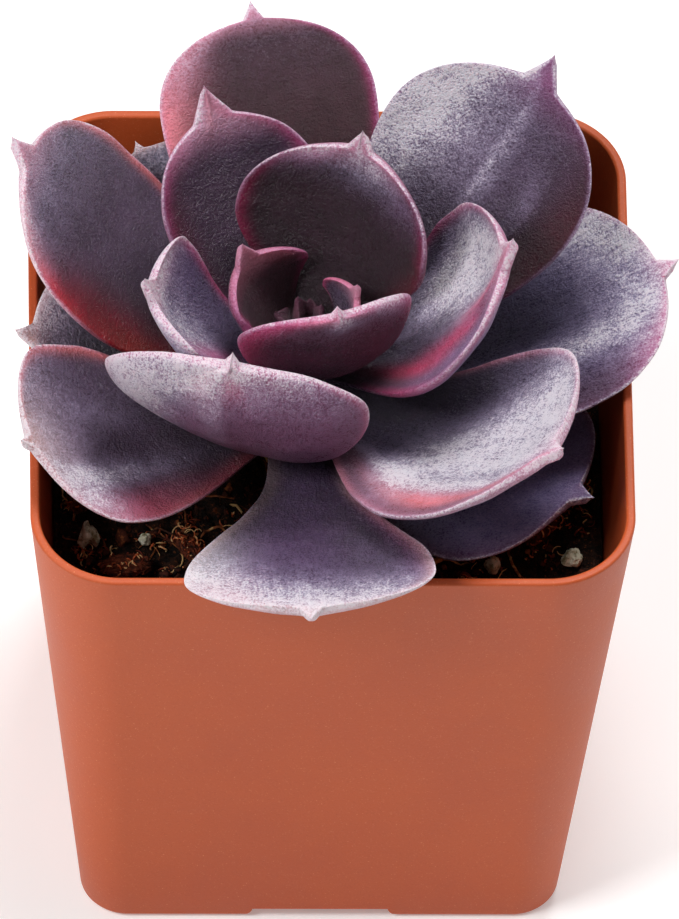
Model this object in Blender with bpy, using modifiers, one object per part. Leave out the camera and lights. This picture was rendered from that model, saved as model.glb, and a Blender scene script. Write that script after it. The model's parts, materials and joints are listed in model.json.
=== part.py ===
"""An echeveria rosette in a square nursery pot, at its real size in metres, +Z up.

The origin is the middle of the pot's underside. The camera that sees the plant best stands
towards -Y, so "front" is -Y and "right" is +X.
"""

import math
from typing import NamedTuple

import bmesh
import bpy
from mathutils import Matrix, Vector, noise

MM = 0.001
AIR = 0.3 * MM  # left between pieces that touch on the real plant

# The pot: a square with round corners that widens from foot to rim.
POT_HEIGHT = 66.5 * MM
RIM_HALF = 31.75 * MM
FOOT_HALF = 25.5 * MM
RIM_CORNER = 9.3 * MM
FOOT_CORNER = 5.0 * MM
WALL = 1.0 * MM
LIP = 0.25 * MM  # rounding of the rim's two edges
FOOT_ROUND = 0.8 * MM  # rounding between the wall and the underside
FLOOR_ROUND = 0.4 * MM  # rounding between the wall and the floor inside
AROUND = 48  # points around the pot and the mix
SIDE_SHARE = 1 / 6  # of a quarter turn's points, spent on half a straight side
SHARP_ANGLE = math.radians(40)

# The drain notches, one in the middle of each side of the foot, and the floor over them.
NOTCH_WIDTH = 14.5 * MM
NOTCH_FLARE = 1.2 * MM  # how much wider the notch is at the ground, on each side
NOTCH_HEIGHT = 1.6 * MM
NOTCH_DEPTH = 8.0 * MM
NOTCH_LEVELS = 4  # cuts up its sides, which make the flare a curve
DRAIN_RADIUS = 2.75 * MM
DRAIN_INSET = 4.5 * MM  # from the foot's edge to the drain hole's middle
DRAIN_SIDES = 24

# The growing mix.
SOIL_TOP = 50.0 * MM
SOIL_BOTTOM = NOTCH_HEIGHT + WALL + AIR
SOIL_LUMP = 0.9 * MM
SOIL_GRAIN = 6.0 * MM  # from one lump to the next
SOIL_RINGS = 8

# The stem.
STEM_X, STEM_Y = -2.3 * MM, 0.4 * MM
STEM_FOOT = 38.0 * MM
STEM_TOP = 68.6 * MM
STEM_RADIUS = 2.6 * MM  # in the mix
STEM_NECK = 2.2 * MM  # where the leaves stand on it
STEM_SHOULDER = 50.6 * MM  # where it has narrowed
STEM_DOME = 0.8 * MM  # height of its rounded top
STEM_SIDES = 16
SCAR_STEP = 2.6 * MM  # from one ring of leaf scars to the next
SCAR_DEPTH = 0.1 * MM
HOLE_SIDES = 24

# The leaves' common form.
LEAF_SEAT = STEM_NECK + AIR  # from the stem's axis to each leaf's base
LEAF_AROUND, LEAF_ROWS = 12, 18
MIDRIB_STEPS = 24
LEAST_BODY = 0.9 * MM  # a leaf's greatest thickness is this
BODY_SHARE = 0.085  # and this share of its width
ABOVE_SHARE = 0.18  # of the thickness, on the upper side of the blade's middle
UNDER_POWER = 3.2  # a higher power gives the margins a thicker, rounder underside
BASE_BODY = 0.75  # thickness at the base, as a share of the greatest
THIN_FROM, THIN_BY = 0.35, 0.5  # the tip loses this share of the thickness, from here on
BASE_CUP = 0.35  # cup at the base, as a share of the cup past the middle
SHOULDER_POWER = 2.3  # a higher power gives the blade's end squarer shoulders
POINT_SLOPE = 0.6  # half the point's width where it starts, as a share of its length
POINT_POWER = 1.3  # a higher power hollows the point's sides
POINT_FADE = 2.0  # how far down the blade the point's sides run, in lengths of the point
BLEND_POWER = 3.0  # a lower power blends the point into the shoulders more softly


class Leaf(NamedTuple):
    """One leaf. Angles are in degrees and lengths in millimetres."""

    toward: float  # the side of the plant it grows to, counter-clockwise from +X
    rise: float  # slope of its midrib at the stem
    curl: float  # how much steeper the midrib is at the tip
    length: float
    width: float
    roll: float  # twist about the midrib
    cup: float  # how far the margins bend up, as a half angle of the blade's arc
    sweep: float  # how far the midrib swings round, counter-clockwise, over its length
    height: float  # of its base above the ground
    widest: float  # where it is widest, as a share of the length
    point: float  # length of the pointed tip
    neck: float  # width at the base, as a share of the greatest
    lean: float  # extra cup on the counter-clockwise side, taken from the other
    waist: float = 1.5  # a higher power keeps the base narrow for longer


# Lowest on the stem first.
LEAVES = (
    Leaf(175, 30, 5, 34.0, 16.5, 19, 1, 16, 51.9, 0.78, 2.8, 0.24, 0.2),
    Leaf(337, 4, 17, 32.2, 25.0, -1, 1, -9, 52.9, 0.62, 2.7, 0.38, 0.1),
    Leaf(71, 8.5, 33, 31.6, 23.6, 0, 22, 0, 54.2, 0.64, 2.8, 0.32, 0.0),
    Leaf(269.5, 29, -8.5, 42.4, 26.4, -3, 7, 0, 54.3, 0.82, 2.4, 0.31, 0.2, 5.5),
    Leaf(211, 16.5, 20, 37.2, 23.0, 14, 15, 0, 56.7, 0.75, 2.0, 0.25, 0.2),
    Leaf(126, 4.0, 36, 31.6, 21.6, 13, 27, -2, 56.7, 0.70, 1.2, 0.24, 0.1),
    Leaf(5, 17, 6, 40.0, 26.5, 1, 8, 13, 57.5, 0.64, 2.4, 0.37, 0.2),
    Leaf(151.5, 14.5, 44, 41.0, 24.4, -9, 4, 8, 59.0, 0.64, 3.6, 0.27, 0.2),
    Leaf(239, 20, 78, 33.7, 28.8, -5.5, 16, 14, 59.2, 0.70, 1.6, 0.22, 0.2),
    Leaf(312, 8, 41, 38.0, 29.0, 5, 25, 13.5, 61.3, 0.68, 3.0, 0.22, -0.5),
    Leaf(97, 15, 21, 39.0, 23.4, 0, 11.5, 4.5, 61.3, 0.70, 2.1, 0.38, 0.1),
    Leaf(35.5, 23, 35, 41.0, 25.4, -13.5, 25, 8, 63.0, 0.63, 4.0, 0.22, 0.1),
    Leaf(121, 35.5, 31, 30.4, 19.4, 10, 41, 1, 63.7, 0.55, 4.2, 0.36, 0.0),
    Leaf(348, 20, 59, 30.0, 23.5, 6, 28, 16, 65.5, 0.58, 3.6, 0.33, 0.3),
    Leaf(191, 20, 55, 23.5, 16.5, 12, 47, 3, 65.5, 0.75, 2.9, 0.29, 0.1),
    Leaf(65, 52, 21, 23.0, 24.0, 4, 47, 1, 67.2, 0.52, 2.7, 0.39, 0.1),
    Leaf(282, 42, 48, 21.8, 20.0, 1, 35, 3, 67.3, 0.61, 1.3, 0.39, 0.2),
    Leaf(162, 53, 29, 13.3, 12.8, 27, 60, -3, 68.1, 0.52, 2.9, 0.50, -0.15),
    Leaf(346, 67, 14, 9.2, 8.4, -8, 60, 25, 68.6, 0.60, 1.7, 0.46, 0.3),
)

# The growing tip: tiny leaves that stand out of one small core on top of the stem.
CROWN_LEAVES = (
    Leaf(150, 74, 8, 4.4, 2.4, 0, 40, 0, 69.3, 0.42, 2.4, 0.7, 0.0),
    Leaf(200, 44, 20, 5.6, 2.0, 0, 40, 0, 69.1, 0.42, 2.2, 0.7, 0.0),
    Leaf(262, 60, 16, 3.9, 2.2, 0, 40, 0, 69.2, 0.42, 1.9, 0.7, 0.0),
    Leaf(20, 70, 10, 3.3, 2.2, 0, 40, 0, 69.3, 0.42, 1.6, 0.7, 0.0),
    Leaf(85, 72, 10, 3.2, 2.2, 0, 40, 0, 69.4, 0.42, 1.6, 0.7, 0.0),
)
CROWN_SEAT = 0.5 * MM  # from the axis, so that the tiny leaves' bases sit inside the core
CROWN_AROUND, CROWN_ROWS = 8, 9
CORE_FOOT = STEM_TOP + AIR
CORE_RADIUS, CORE_HEIGHT = 1.3 * MM, 2.4 * MM
CORE_AROUND, CORE_ROWS = 12, 6


class Chip(NamedTuple):
    """A loose piece on the mix: where it lies, its size and its turn, in mm and degrees."""

    x: float
    y: float
    length: float
    width: float
    height: float
    turn: float


PERLITE = (
    Chip(-25.3, -14.0, 2.2, 2.6, 3.2, 10),
    Chip(-19.4, -13.9, 1.3, 1.2, 1.6, 40),
    Chip(17.2, -17.2, 1.9, 1.7, 2.2, 70),
    Chip(25.6, -16.2, 2.3, 2.0, 1.7, 25),
)
BARK = (
    Chip(-25.8, -8.0, 5.0, 3.2, 2.0, 75),
    Chip(-21.5, -17.8, 5.5, 2.8, 1.6, 5),
    Chip(-14.6, -15.5, 4.6, 2.6, 1.8, 120),
    Chip(-19.0, -8.8, 5.2, 2.6, 1.6, 150),
    Chip(13.9, -20.4, 4.6, 2.4, 1.6, 20),
    Chip(22.4, -12.4, 5.0, 2.6, 1.8, 50),
    Chip(26.2, -6.0, 4.2, 2.6, 1.6, 100),
)
CHIP_AROUND, CHIP_ROWS = 10, 7
CHIP_BLUNT = 0.7  # a lower power gives squarer chips
CHIP_SWELL = 0.22  # how uneven a chip is
CHIP_SEED_STEP = 3.7  # sets each chip's unevenness apart
CHIP_BELLY = 0.7  # the underside is cut flat at this share of the half height
STRAWS = (
    Chip(9.6, -18.6, 9.0, 0.7, 1.3, 28),
    Chip(-17.2, -21.6, 8.0, 0.7, 1.0, -14),
)
STRAW_POINTS = 9
STRAW_BOW = 0.12  # how far a straw bows sideways, as a share of its length


class Ring(NamedTuple):
    """A square outline with round corners, at a height."""

    half: float
    corner: float
    z: float


def clear_scene():
    for obj in list(bpy.data.objects):
        bpy.data.objects.remove(obj)


def new_collection(name):
    collection = bpy.data.collections.new(name)
    bpy.context.scene.collection.children.link(collection)
    return collection


def new_material(name, colour, roughness, metallic=0.0):
    material = bpy.data.materials.new(name)
    material.use_nodes = True
    shader = material.node_tree.nodes["Principled BSDF"]
    shader.inputs["Base Color"].default_value = (*colour, 1.0)
    shader.inputs["Roughness"].default_value = roughness
    shader.inputs["Metallic"].default_value = metallic
    material.diffuse_color = (*colour, 1.0)
    return material


def pot_material():
    return new_material("terracotta_plastic", (0.36, 0.085, 0.045), 0.45)


def soil_material():
    return new_material("growing_mix", (0.022, 0.012, 0.008), 0.95)


def stem_material():
    return new_material("stem_skin", (0.12, 0.09, 0.05), 0.8)


def leaf_material(leaf):
    """Plum at the top of the stem, and greyer and greener on lower, older leaves."""
    lowest, highest = LEAVES[0].height, LEAVES[-1].height
    age = (highest - leaf.height) / (highest - lowest)
    young, old = Vector((0.15, 0.07, 0.10)), Vector((0.20, 0.19, 0.22))
    return new_material("leaf_skin", young.lerp(old, age), 0.55)


def crown_material():
    return new_material("young_leaf_skin", (0.22, 0.08, 0.11), 0.5)


def perlite_material():
    return new_material("perlite", (0.62, 0.60, 0.50), 0.95)


def bark_material():
    return new_material("bark", (0.13, 0.045, 0.015), 0.9)


def straw_material():
    return new_material("straw", (0.45, 0.30, 0.12), 0.8)


def new_object(name, data, collection, material=None):
    obj = bpy.data.objects.new(name, data)
    collection.objects.link(obj)
    if material:
        data.materials.append(material)
    return obj


def mesh_from(bm, name):
    """The finished mesh of this edit mesh, which is freed."""
    mesh = bpy.data.meshes.new(name)
    bm.to_mesh(mesh)
    bm.free()
    return mesh


def shaped_sphere(name, around, rows, place):
    """A closed mesh from a sphere: each point goes to place(row, turn).

    row runs from 0 at the bottom pole to rows at the top pole, and turn is the angle round it.
    """
    bm = bmesh.new()
    bmesh.ops.create_uvsphere(bm, u_segments=around, v_segments=rows, radius=1.0)
    for vert in bm.verts:
        height = max(-1.0, min(1.0, vert.co.z))
        row = round(rows * math.acos(-height) / math.pi)
        turn = math.atan2(vert.co.y, vert.co.x) % math.tau
        vert.co = place(row, turn)
    mesh = mesh_from(bm, name)
    mesh.shade_smooth()
    return mesh


def box(name, low, high, collection):
    bm = bmesh.new()
    bmesh.ops.create_cube(bm, size=1.0)
    low, high = Vector(low), Vector(high)
    for vert in bm.verts:
        share = vert.co + Vector((0.5, 0.5, 0.5))
        vert.co = low + share * (high - low)
    return new_object(name, mesh_from(bm, name), collection)


def cylinder(name, radius, low, high, sides, collection):
    """An upright cylinder between two heights, on the z axis."""
    bm = bmesh.new()
    bmesh.ops.create_cone(
        bm, cap_ends=True, segments=sides, radius1=radius, radius2=radius, depth=high - low
    )
    bmesh.ops.translate(bm, vec=(0, 0, (low + high) / 2), verts=bm.verts)
    return new_object(name, mesh_from(bm, name), collection)


def combine(obj, collection, operation):
    """Joins or cuts every object of the collection, applies it and removes them."""
    boolean = obj.modifiers.new(operation.lower(), "BOOLEAN")
    boolean.operation = operation
    boolean.operand_type = "COLLECTION"
    boolean.collection = collection
    graph = bpy.context.evaluated_depsgraph_get()
    mesh = bpy.data.meshes.new_from_object(obj.evaluated_get(graph))
    obj.modifiers.clear()
    obj.data = mesh
    for helper in list(collection.objects):
        bpy.data.objects.remove(helper)
    bpy.data.collections.remove(collection)


def rounded_square(ring, turn):
    """(x, y) at this turn on the ring."""
    quarter, share = divmod(turn / (math.pi / 2), 1)
    flat = ring.half - ring.corner
    if share < SIDE_SHARE:
        point = Vector((ring.half, flat * share / SIDE_SHARE))
    elif share > 1 - SIDE_SHARE:
        point = Vector((flat * (1 - share) / SIDE_SHARE, ring.half))
    else:
        angle = math.pi / 2 * (share - SIDE_SHARE) / (1 - 2 * SIDE_SHARE)
        round_part = ring.corner * Vector((math.cos(angle), math.sin(angle)))
        point = Vector((flat, flat)) + round_part
    return Matrix.Rotation(quarter * math.pi / 2, 2) @ point


def wall_ring(z, depth=0.0):
    """The pot's outline at this height, this far in from its outer face."""
    share = z / POT_HEIGHT
    half = FOOT_HALF + (RIM_HALF - FOOT_HALF) * share
    corner = FOOT_CORNER + (RIM_CORNER - FOOT_CORNER) * share
    return Ring(half - depth, corner - depth, z)


def shrunk(ring, share):
    return Ring(ring.half * share, ring.corner * share, ring.z)


def pot_rings():
    """From the middle of the underside, out and up the wall, over the rim, down the inside
    and in to the middle of the floor."""
    flank = [share * POT_HEIGHT for share in (0.25, 0.5, 0.75)]
    underside, floor = wall_ring(0, FOOT_ROUND), wall_ring(WALL, WALL + FLOOR_ROUND)
    return (
        *(shrunk(underside, share) for share in (0, 0.4, 0.7, 1)),
        wall_ring(0.3 * FOOT_ROUND, 0.3 * FOOT_ROUND),
        *(wall_ring(z) for z in (FOOT_ROUND, *flank, POT_HEIGHT - LIP)),
        *(wall_ring(POT_HEIGHT, depth) for depth in (LIP, WALL - LIP)),
        *(wall_ring(z, WALL) for z in (POT_HEIGHT - LIP, *reversed(flank), WALL + FLOOR_ROUND)),
        *(shrunk(floor, share) for share in (1, 0.6, 0.3, 0)),
    )


def soil_rings():
    """From the middle of the underside, out, up beside the wall and in to the middle."""
    gap, depth = WALL + AIR, SOIL_TOP - SOIL_BOTTOM
    foot, top = wall_ring(SOIL_BOTTOM, gap), wall_ring(SOIL_TOP, gap)
    return (
        *(shrunk(foot, share) for share in (0, 0.5, 1)),
        *(wall_ring(SOIL_BOTTOM + share * depth, gap) for share in (0.35, 0.7)),
        *(shrunk(top, 1 - ring / SOIL_RINGS) for ring in range(SOIL_RINGS + 1)),
    )


def soil_lumps(x, y):
    """How far the mix stands above or below its mean level."""
    return SOIL_LUMP * noise.noise(Vector((x, y, 0)) / SOIL_GRAIN)


def ring_mesh(name, rings, lumps_from=math.inf):
    """A closed mesh through the rings. Those at or above lumps_from follow the mix's lumps."""

    def place(row, turn):
        ring = rings[row]
        x, y = rounded_square(ring, turn)
        lump = soil_lumps(x, y) if ring.z >= lumps_from else 0
        return Vector((x, y, ring.z + lump))

    return shaped_sphere(name, AROUND, len(rings) - 1, place)


def repeat_on_all_sides(collection):
    """Copies what stands at the front of the pot to its three other sides."""
    for obj in list(collection.objects):
        for side in (1, 2, 3):
            copy = obj.copy()
            copy.matrix_world = Matrix.Rotation(side * math.pi / 2, 4, "Z") @ obj.matrix_world
            collection.objects.link(copy)


def notch_roofs():
    """The raised stretches of floor over the notches."""
    roofs = new_collection("notch roofs")
    half = NOTCH_WIDTH / 2 + WALL
    low = (-half, -FOOT_HALF + 0.4 * WALL, 0.5 * WALL)
    high = (half, -FOOT_HALF + NOTCH_DEPTH + WALL, NOTCH_HEIGHT + WALL)
    box("roof", low, high, roofs)
    repeat_on_all_sides(roofs)
    return roofs


def flare_notch(mesh):
    """Widens the notch's sides in a curve towards the ground, and takes it below the foot."""
    bm = bmesh.new()
    bm.from_mesh(mesh)
    upright = [edge for edge in bm.edges if edge.verts[0].co.z != edge.verts[1].co.z]
    bmesh.ops.subdivide_edges(bm, edges=upright, cuts=NOTCH_LEVELS, use_grid_fill=True)
    for vert in bm.verts:
        flare = NOTCH_FLARE * (1 - vert.co.z / NOTCH_HEIGHT) ** 2
        vert.co.x += math.copysign(flare, vert.co.x)
        if vert.co.z == 0:
            vert.co.z = -WALL
    bm.to_mesh(mesh)
    bm.free()


def notch_cutters():
    """The notches, and the round drain hole over each."""
    cutters = new_collection("notch cutters")
    low = (-NOTCH_WIDTH / 2, -FOOT_HALF - WALL, 0)
    high = (NOTCH_WIDTH / 2, -FOOT_HALF + NOTCH_DEPTH, NOTCH_HEIGHT)
    flare_notch(box("notch", low, high, cutters).data)
    roof_top = NOTCH_HEIGHT + WALL
    drain = cylinder("drain", DRAIN_RADIUS, 0, roof_top + WALL, DRAIN_SIDES, cutters)
    drain.location.y = -FOOT_HALF + DRAIN_INSET
    bpy.context.view_layer.update()
    repeat_on_all_sides(cutters)
    return cutters


def make_pot(collection):
    pot = new_object("pot", ring_mesh("pot", pot_rings()), collection, pot_material())
    combine(pot, notch_roofs(), "UNION")
    combine(pot, notch_cutters(), "DIFFERENCE")
    pot.data.set_sharp_from_angle(angle=SHARP_ANGLE)


def make_soil(collection):
    """The mix, with a plain hole for the stem."""
    mesh = ring_mesh("soil", soil_rings(), lumps_from=SOIL_TOP)
    soil = new_object("soil", mesh, collection, soil_material())
    cutters = new_collection("stem hole")
    low, high = STEM_FOOT - AIR, SOIL_TOP + 3 * SOIL_LUMP
    hole = cylinder("hole", STEM_RADIUS + AIR, low, high, HOLE_SIDES, cutters)
    hole.location = (STEM_X, STEM_Y, 0)
    combine(soil, cutters, "DIFFERENCE")


def stem_profile():
    """(radius, height) from the top of the stem down its ringed side to its rounded foot."""
    shoulder = STEM_TOP - STEM_DOME
    rings = int((shoulder - STEM_SHOULDER) / SCAR_STEP)
    profile = [(0, STEM_TOP), (0.6 * STEM_NECK, STEM_TOP - 0.15 * STEM_DOME)]
    for ring in range(rings):
        z = shoulder - ring * SCAR_STEP
        profile.append((STEM_NECK - SCAR_DEPTH, z))
        profile.append((STEM_NECK, z - 0.7 * SCAR_STEP))
    profile.append((STEM_NECK, STEM_SHOULDER))
    profile.append((STEM_RADIUS, STEM_SHOULDER - STEM_RADIUS))
    profile.append((STEM_RADIUS, STEM_FOOT + STEM_RADIUS))
    profile.append((0.7 * STEM_RADIUS, STEM_FOOT + 0.3 * STEM_RADIUS))
    profile.append((0, STEM_FOOT))
    return profile


def make_stem(collection):
    bm = bmesh.new()
    verts = [bm.verts.new((radius, 0, z)) for radius, z in stem_profile()]
    for above, below in zip(verts, verts[1:]):
        bm.edges.new((above, below))
    stem = new_object("stem", mesh_from(bm, "stem"), collection, stem_material())
    stem.location = (STEM_X, STEM_Y, 0)
    screw = stem.modifiers.new("turned", "SCREW")
    screw.axis = "Z"
    screw.steps = screw.render_steps = STEM_SIDES
    screw.use_merge_vertices = True
    screw.merge_threshold = 0.00001
    screw.use_smooth_shade = True


def leaf_half_width(leaf, share):
    """Half the blade's width here: it widens from the neck, rounds off and ends in a point."""
    full = leaf.width * MM / 2
    if share < leaf.widest:
        widening = math.sin(math.pi / 2 * share / leaf.widest) ** leaf.waist
        return full * (leaf.neck + (1 - leaf.neck) * widening)
    end = 1 - leaf.point / leaf.length
    fall = min(1, (share - leaf.widest) / (end - leaf.widest))
    shoulders = full * math.sqrt(1 - fall**SHOULDER_POWER)
    to_tip = (1 - share) / (1 - end)
    fade = math.exp(-((to_tip / POINT_FADE) ** 4))
    point = POINT_SLOPE * leaf.point * MM * to_tip**POINT_POWER * fade
    return (shoulders**BLEND_POWER + point**BLEND_POWER) ** (1 / BLEND_POWER)


def leaf_thickness(leaf, share):
    """Thickest past the base, and thin towards the tip."""
    body = LEAST_BODY + BODY_SHARE * leaf.width * MM
    swell = BASE_BODY + (1 - BASE_BODY) * math.sin(math.pi * min(1, share / (2 * THIN_FROM)))
    thinning = 1 - THIN_BY * (max(0, share - THIN_FROM) / (1 - THIN_FROM)) ** 1.4
    return min(body * swell * thinning, 2 * leaf_half_width(leaf, share))


def leaf_directions(leaf, share):
    """(along, across, up) at this share of the midrib; across points counter-clockwise."""
    heading = math.radians(leaf.toward + leaf.sweep * share)
    pitch = math.radians(leaf.rise + leaf.curl * share)
    outward, upward = Vector((math.cos(heading), math.sin(heading), 0)), Vector((0, 0, 1))
    along = math.cos(pitch) * outward + math.sin(pitch) * upward
    up = math.cos(pitch) * upward - math.sin(pitch) * outward
    across = up.cross(along)
    roll = math.radians(leaf.roll) * min(1, 1.6 * share)
    rolled_across = math.cos(roll) * across - math.sin(roll) * up
    return along, rolled_across, math.cos(roll) * up + math.sin(roll) * across


def leaf_midrib(leaf, share, seat):
    """The midrib's point at this share of its length, stepped out from the stem."""
    toward = math.radians(leaf.toward)
    base = Vector((STEM_X, STEM_Y, leaf.height * MM))
    point = base + seat * Vector((math.cos(toward), math.sin(toward), 0))
    step = leaf.length * MM * share / MIDRIB_STEPS
    for number in range(MIDRIB_STEPS):
        middle = share * (number + 0.5) / MIDRIB_STEPS
        point += step * leaf_directions(leaf, middle)[0]
    return point


def leaf_section(leaf, share, turn):
    """(across, up) from the midrib to the skin. The blade lies on an arc whose ends turn up."""
    side, face = math.cos(turn), math.sin(turn)
    half = leaf_half_width(leaf, share)
    cup = math.radians(leaf.cup) * (1 + math.copysign(leaf.lean, side))
    cup *= BASE_CUP + (1 - BASE_CUP) * min(1, 2 * share)
    cup *= math.sqrt(min(1, 2 * half / (leaf.width * MM)))
    radius, angle = half / max(cup, 0.001), cup * side
    below = math.sqrt(max(0, 1 - abs(side) ** UNDER_POWER))
    body_share = ABOVE_SHARE * face if face > 0 else (ABOVE_SHARE - 1) * below
    depth = body_share * leaf_thickness(leaf, share)
    across = (radius - depth) * math.sin(angle)
    return across, radius - (radius - depth) * math.cos(angle)


def leaf_mesh(name, leaf, seat, around, rows):
    """A closed leaf whose rows crowd towards the base and the tip."""

    def place(row, turn):
        even = row / rows
        share = 0.55 * even + 0.45 * (1 - math.cos(math.pi * even)) / 2
        point = leaf_midrib(leaf, share, seat)
        if row in (0, rows):
            return point
        _, across, up = leaf_directions(leaf, share)
        sideways, raised = leaf_section(leaf, share, turn)
        return point + sideways * across + raised * up

    return shaped_sphere(name, around, rows, place)


def make_leaves(collection):
    for number, leaf in enumerate(LEAVES, 1):
        name = f"leaf_{number:02d}"
        mesh = leaf_mesh(name, leaf, LEAF_SEAT, LEAF_AROUND, LEAF_ROWS)
        new_object(name, mesh, collection, leaf_material(leaf))


def crown_core(row, turn):
    """The core's points: an egg on top of the stem."""
    rise = math.pi * row / CORE_ROWS
    radius = CORE_RADIUS * math.sin(rise)
    x, y = STEM_X + radius * math.cos(turn), STEM_Y + radius * math.sin(turn)
    return Vector((x, y, CORE_FOOT + CORE_HEIGHT * (1 - math.cos(rise)) / 2))


def make_crown(collection):
    core = shaped_sphere("crown_bud", CORE_AROUND, CORE_ROWS, crown_core)
    crown = new_object("crown_bud", core, collection, crown_material())
    tiny_leaves = new_collection("tiny leaves")
    for leaf in CROWN_LEAVES:
        mesh = leaf_mesh("tiny_leaf", leaf, CROWN_SEAT, CROWN_AROUND, CROWN_ROWS)
        new_object("tiny_leaf", mesh, tiny_leaves)
    combine(crown, tiny_leaves, "UNION")
    crown.data.set_sharp_from_angle(angle=SHARP_ANGLE)


def chip_mesh(name, chip, seed):
    """An uneven lump with blunt corners and a flat underside."""
    half = Vector((chip.length, chip.width, chip.height)) * MM / 2

    def blunt(value):
        return math.copysign(abs(value) ** CHIP_BLUNT, value)

    def place(row, turn):
        rise = math.pi * row / CHIP_ROWS
        reach = math.sin(rise)
        side, front = reach * blunt(math.cos(turn)), reach * blunt(math.sin(turn))
        point = Vector((side, front, -math.cos(rise)))
        point *= 1 + CHIP_SWELL * noise.noise(1.6 * point + Vector((seed, 0, 0)))
        point.z = max(point.z, -CHIP_BELLY)
        return point * half

    return shaped_sphere(name, CHIP_AROUND, CHIP_ROWS, place)


def soil_under(chip):
    """The highest that the mix stands under a chip."""
    turn = Matrix.Rotation(math.radians(chip.turn), 2)
    half = Vector((chip.length, chip.width)) * MM / 2
    steps = [step / 4 for step in range(-4, 5)]
    spots = [turn @ (Vector((x, y)) * half) for x in steps for y in steps]
    return SOIL_TOP + max(soil_lumps(chip.x * MM + x, chip.y * MM + y) for x, y in spots)


def make_chips(kind, chips, material, collection):
    for number, chip in enumerate(chips, 1):
        name = f"{kind}_{number}"
        mesh = chip_mesh(name, chip, CHIP_SEED_STEP * number)
        obj = new_object(name, mesh, collection, material)
        lowest = min(vert.co.z for vert in mesh.vertices)
        obj.location = (chip.x * MM, chip.y * MM, soil_under(chip) + AIR - lowest)
        obj.rotation_euler.z = math.radians(chip.turn)


def straw_curve(name, straw):
    """A bowed fibre that touches down at both ends."""
    curve = bpy.data.curves.new(name, "CURVE")
    curve.dimensions = "3D"
    curve.bevel_depth = straw.width * MM / 2
    curve.bevel_resolution = 1
    curve.use_fill_caps = True
    spline = curve.splines.new("POLY")
    spline.points.add(STRAW_POINTS - 1)
    for index, point in enumerate(spline.points):
        along = 2 * index / (STRAW_POINTS - 1) - 1
        side = STRAW_BOW * straw.length * along**2
        point.co = (along * straw.length * MM / 2, side * MM, straw.height * MM * (1 - along**2), 1)
    return curve


def make_straws(collection):
    """Dry fibres that lie on the mix in low arches."""
    material = straw_material()
    for number, straw in enumerate(STRAWS, 1):
        name = f"straw_{number}"
        obj = new_object(name, straw_curve(name, straw), collection, material)
        footprint = straw._replace(width=4 * STRAW_BOW * straw.length)
        base = soil_under(footprint) + AIR + straw.width * MM / 2
        obj.location = (straw.x * MM, straw.y * MM, base)
        obj.rotation_euler.z = math.radians(straw.turn)


def main():
    clear_scene()
    plant = new_collection("potted echeveria")
    make_pot(plant)
    make_soil(plant)
    make_stem(plant)
    make_leaves(plant)
    make_crown(plant)
    make_chips("perlite", PERLITE, perlite_material(), plant)
    make_chips("bark", BARK, bark_material(), plant)
    make_straws(plant)


main()
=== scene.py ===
"""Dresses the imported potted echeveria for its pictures.

Fine leaves, crown, pot, mix and chips stand in for the plain CAD pieces, with their finishes,
on a pale floor in soft studio light. Lengths are in metres unless a name says otherwise.
"""

import json
import math
from typing import NamedTuple

import bmesh
import bpy
import numpy as np
from mathutils import Matrix, Vector, noise

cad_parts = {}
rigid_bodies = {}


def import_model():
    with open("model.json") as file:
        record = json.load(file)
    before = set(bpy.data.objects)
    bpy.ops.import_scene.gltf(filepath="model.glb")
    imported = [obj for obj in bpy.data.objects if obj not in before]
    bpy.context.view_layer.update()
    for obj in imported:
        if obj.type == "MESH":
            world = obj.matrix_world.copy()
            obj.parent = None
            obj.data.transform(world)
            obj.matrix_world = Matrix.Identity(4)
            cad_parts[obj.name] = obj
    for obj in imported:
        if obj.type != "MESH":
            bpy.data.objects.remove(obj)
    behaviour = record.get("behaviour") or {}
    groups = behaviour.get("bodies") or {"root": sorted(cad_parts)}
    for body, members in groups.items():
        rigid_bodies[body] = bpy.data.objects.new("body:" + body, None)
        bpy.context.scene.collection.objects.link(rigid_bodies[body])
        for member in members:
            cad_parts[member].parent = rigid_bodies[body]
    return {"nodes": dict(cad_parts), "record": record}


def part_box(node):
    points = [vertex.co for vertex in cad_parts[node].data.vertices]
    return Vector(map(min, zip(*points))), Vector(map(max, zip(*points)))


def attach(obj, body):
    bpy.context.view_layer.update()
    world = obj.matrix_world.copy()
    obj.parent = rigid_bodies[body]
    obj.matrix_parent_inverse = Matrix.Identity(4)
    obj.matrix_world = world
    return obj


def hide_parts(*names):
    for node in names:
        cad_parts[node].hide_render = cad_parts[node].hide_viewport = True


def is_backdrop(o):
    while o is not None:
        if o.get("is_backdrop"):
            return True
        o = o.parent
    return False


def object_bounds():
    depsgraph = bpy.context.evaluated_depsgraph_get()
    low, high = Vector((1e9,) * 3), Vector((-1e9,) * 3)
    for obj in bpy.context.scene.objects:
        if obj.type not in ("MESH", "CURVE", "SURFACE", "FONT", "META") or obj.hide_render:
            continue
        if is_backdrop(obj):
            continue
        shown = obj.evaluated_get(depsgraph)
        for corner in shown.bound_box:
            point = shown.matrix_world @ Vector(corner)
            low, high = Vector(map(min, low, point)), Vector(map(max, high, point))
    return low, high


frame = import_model()
cad_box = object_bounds()

MM = 0.001
MM_PER_M = (1000.0, 1000.0, 1000.0)

# The camera, which was fitted to the pot's rim, corners and foot in the photo.
PHOTO_WIDTH, PHOTO_HEIGHT = 679, 919
CAMERA_AZIMUTH, CAMERA_ELEVATION, CAMERA_ROLL = 2.5, 52.2, 2.1
CAMERA_DISTANCE = 2.5
CAMERA_TARGET = Vector((1.44, 0.0, 46.9)) * MM
CAMERA_FOCUS = 23588.0  # focal length in photo pixels
SENSOR = 36.0


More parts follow.
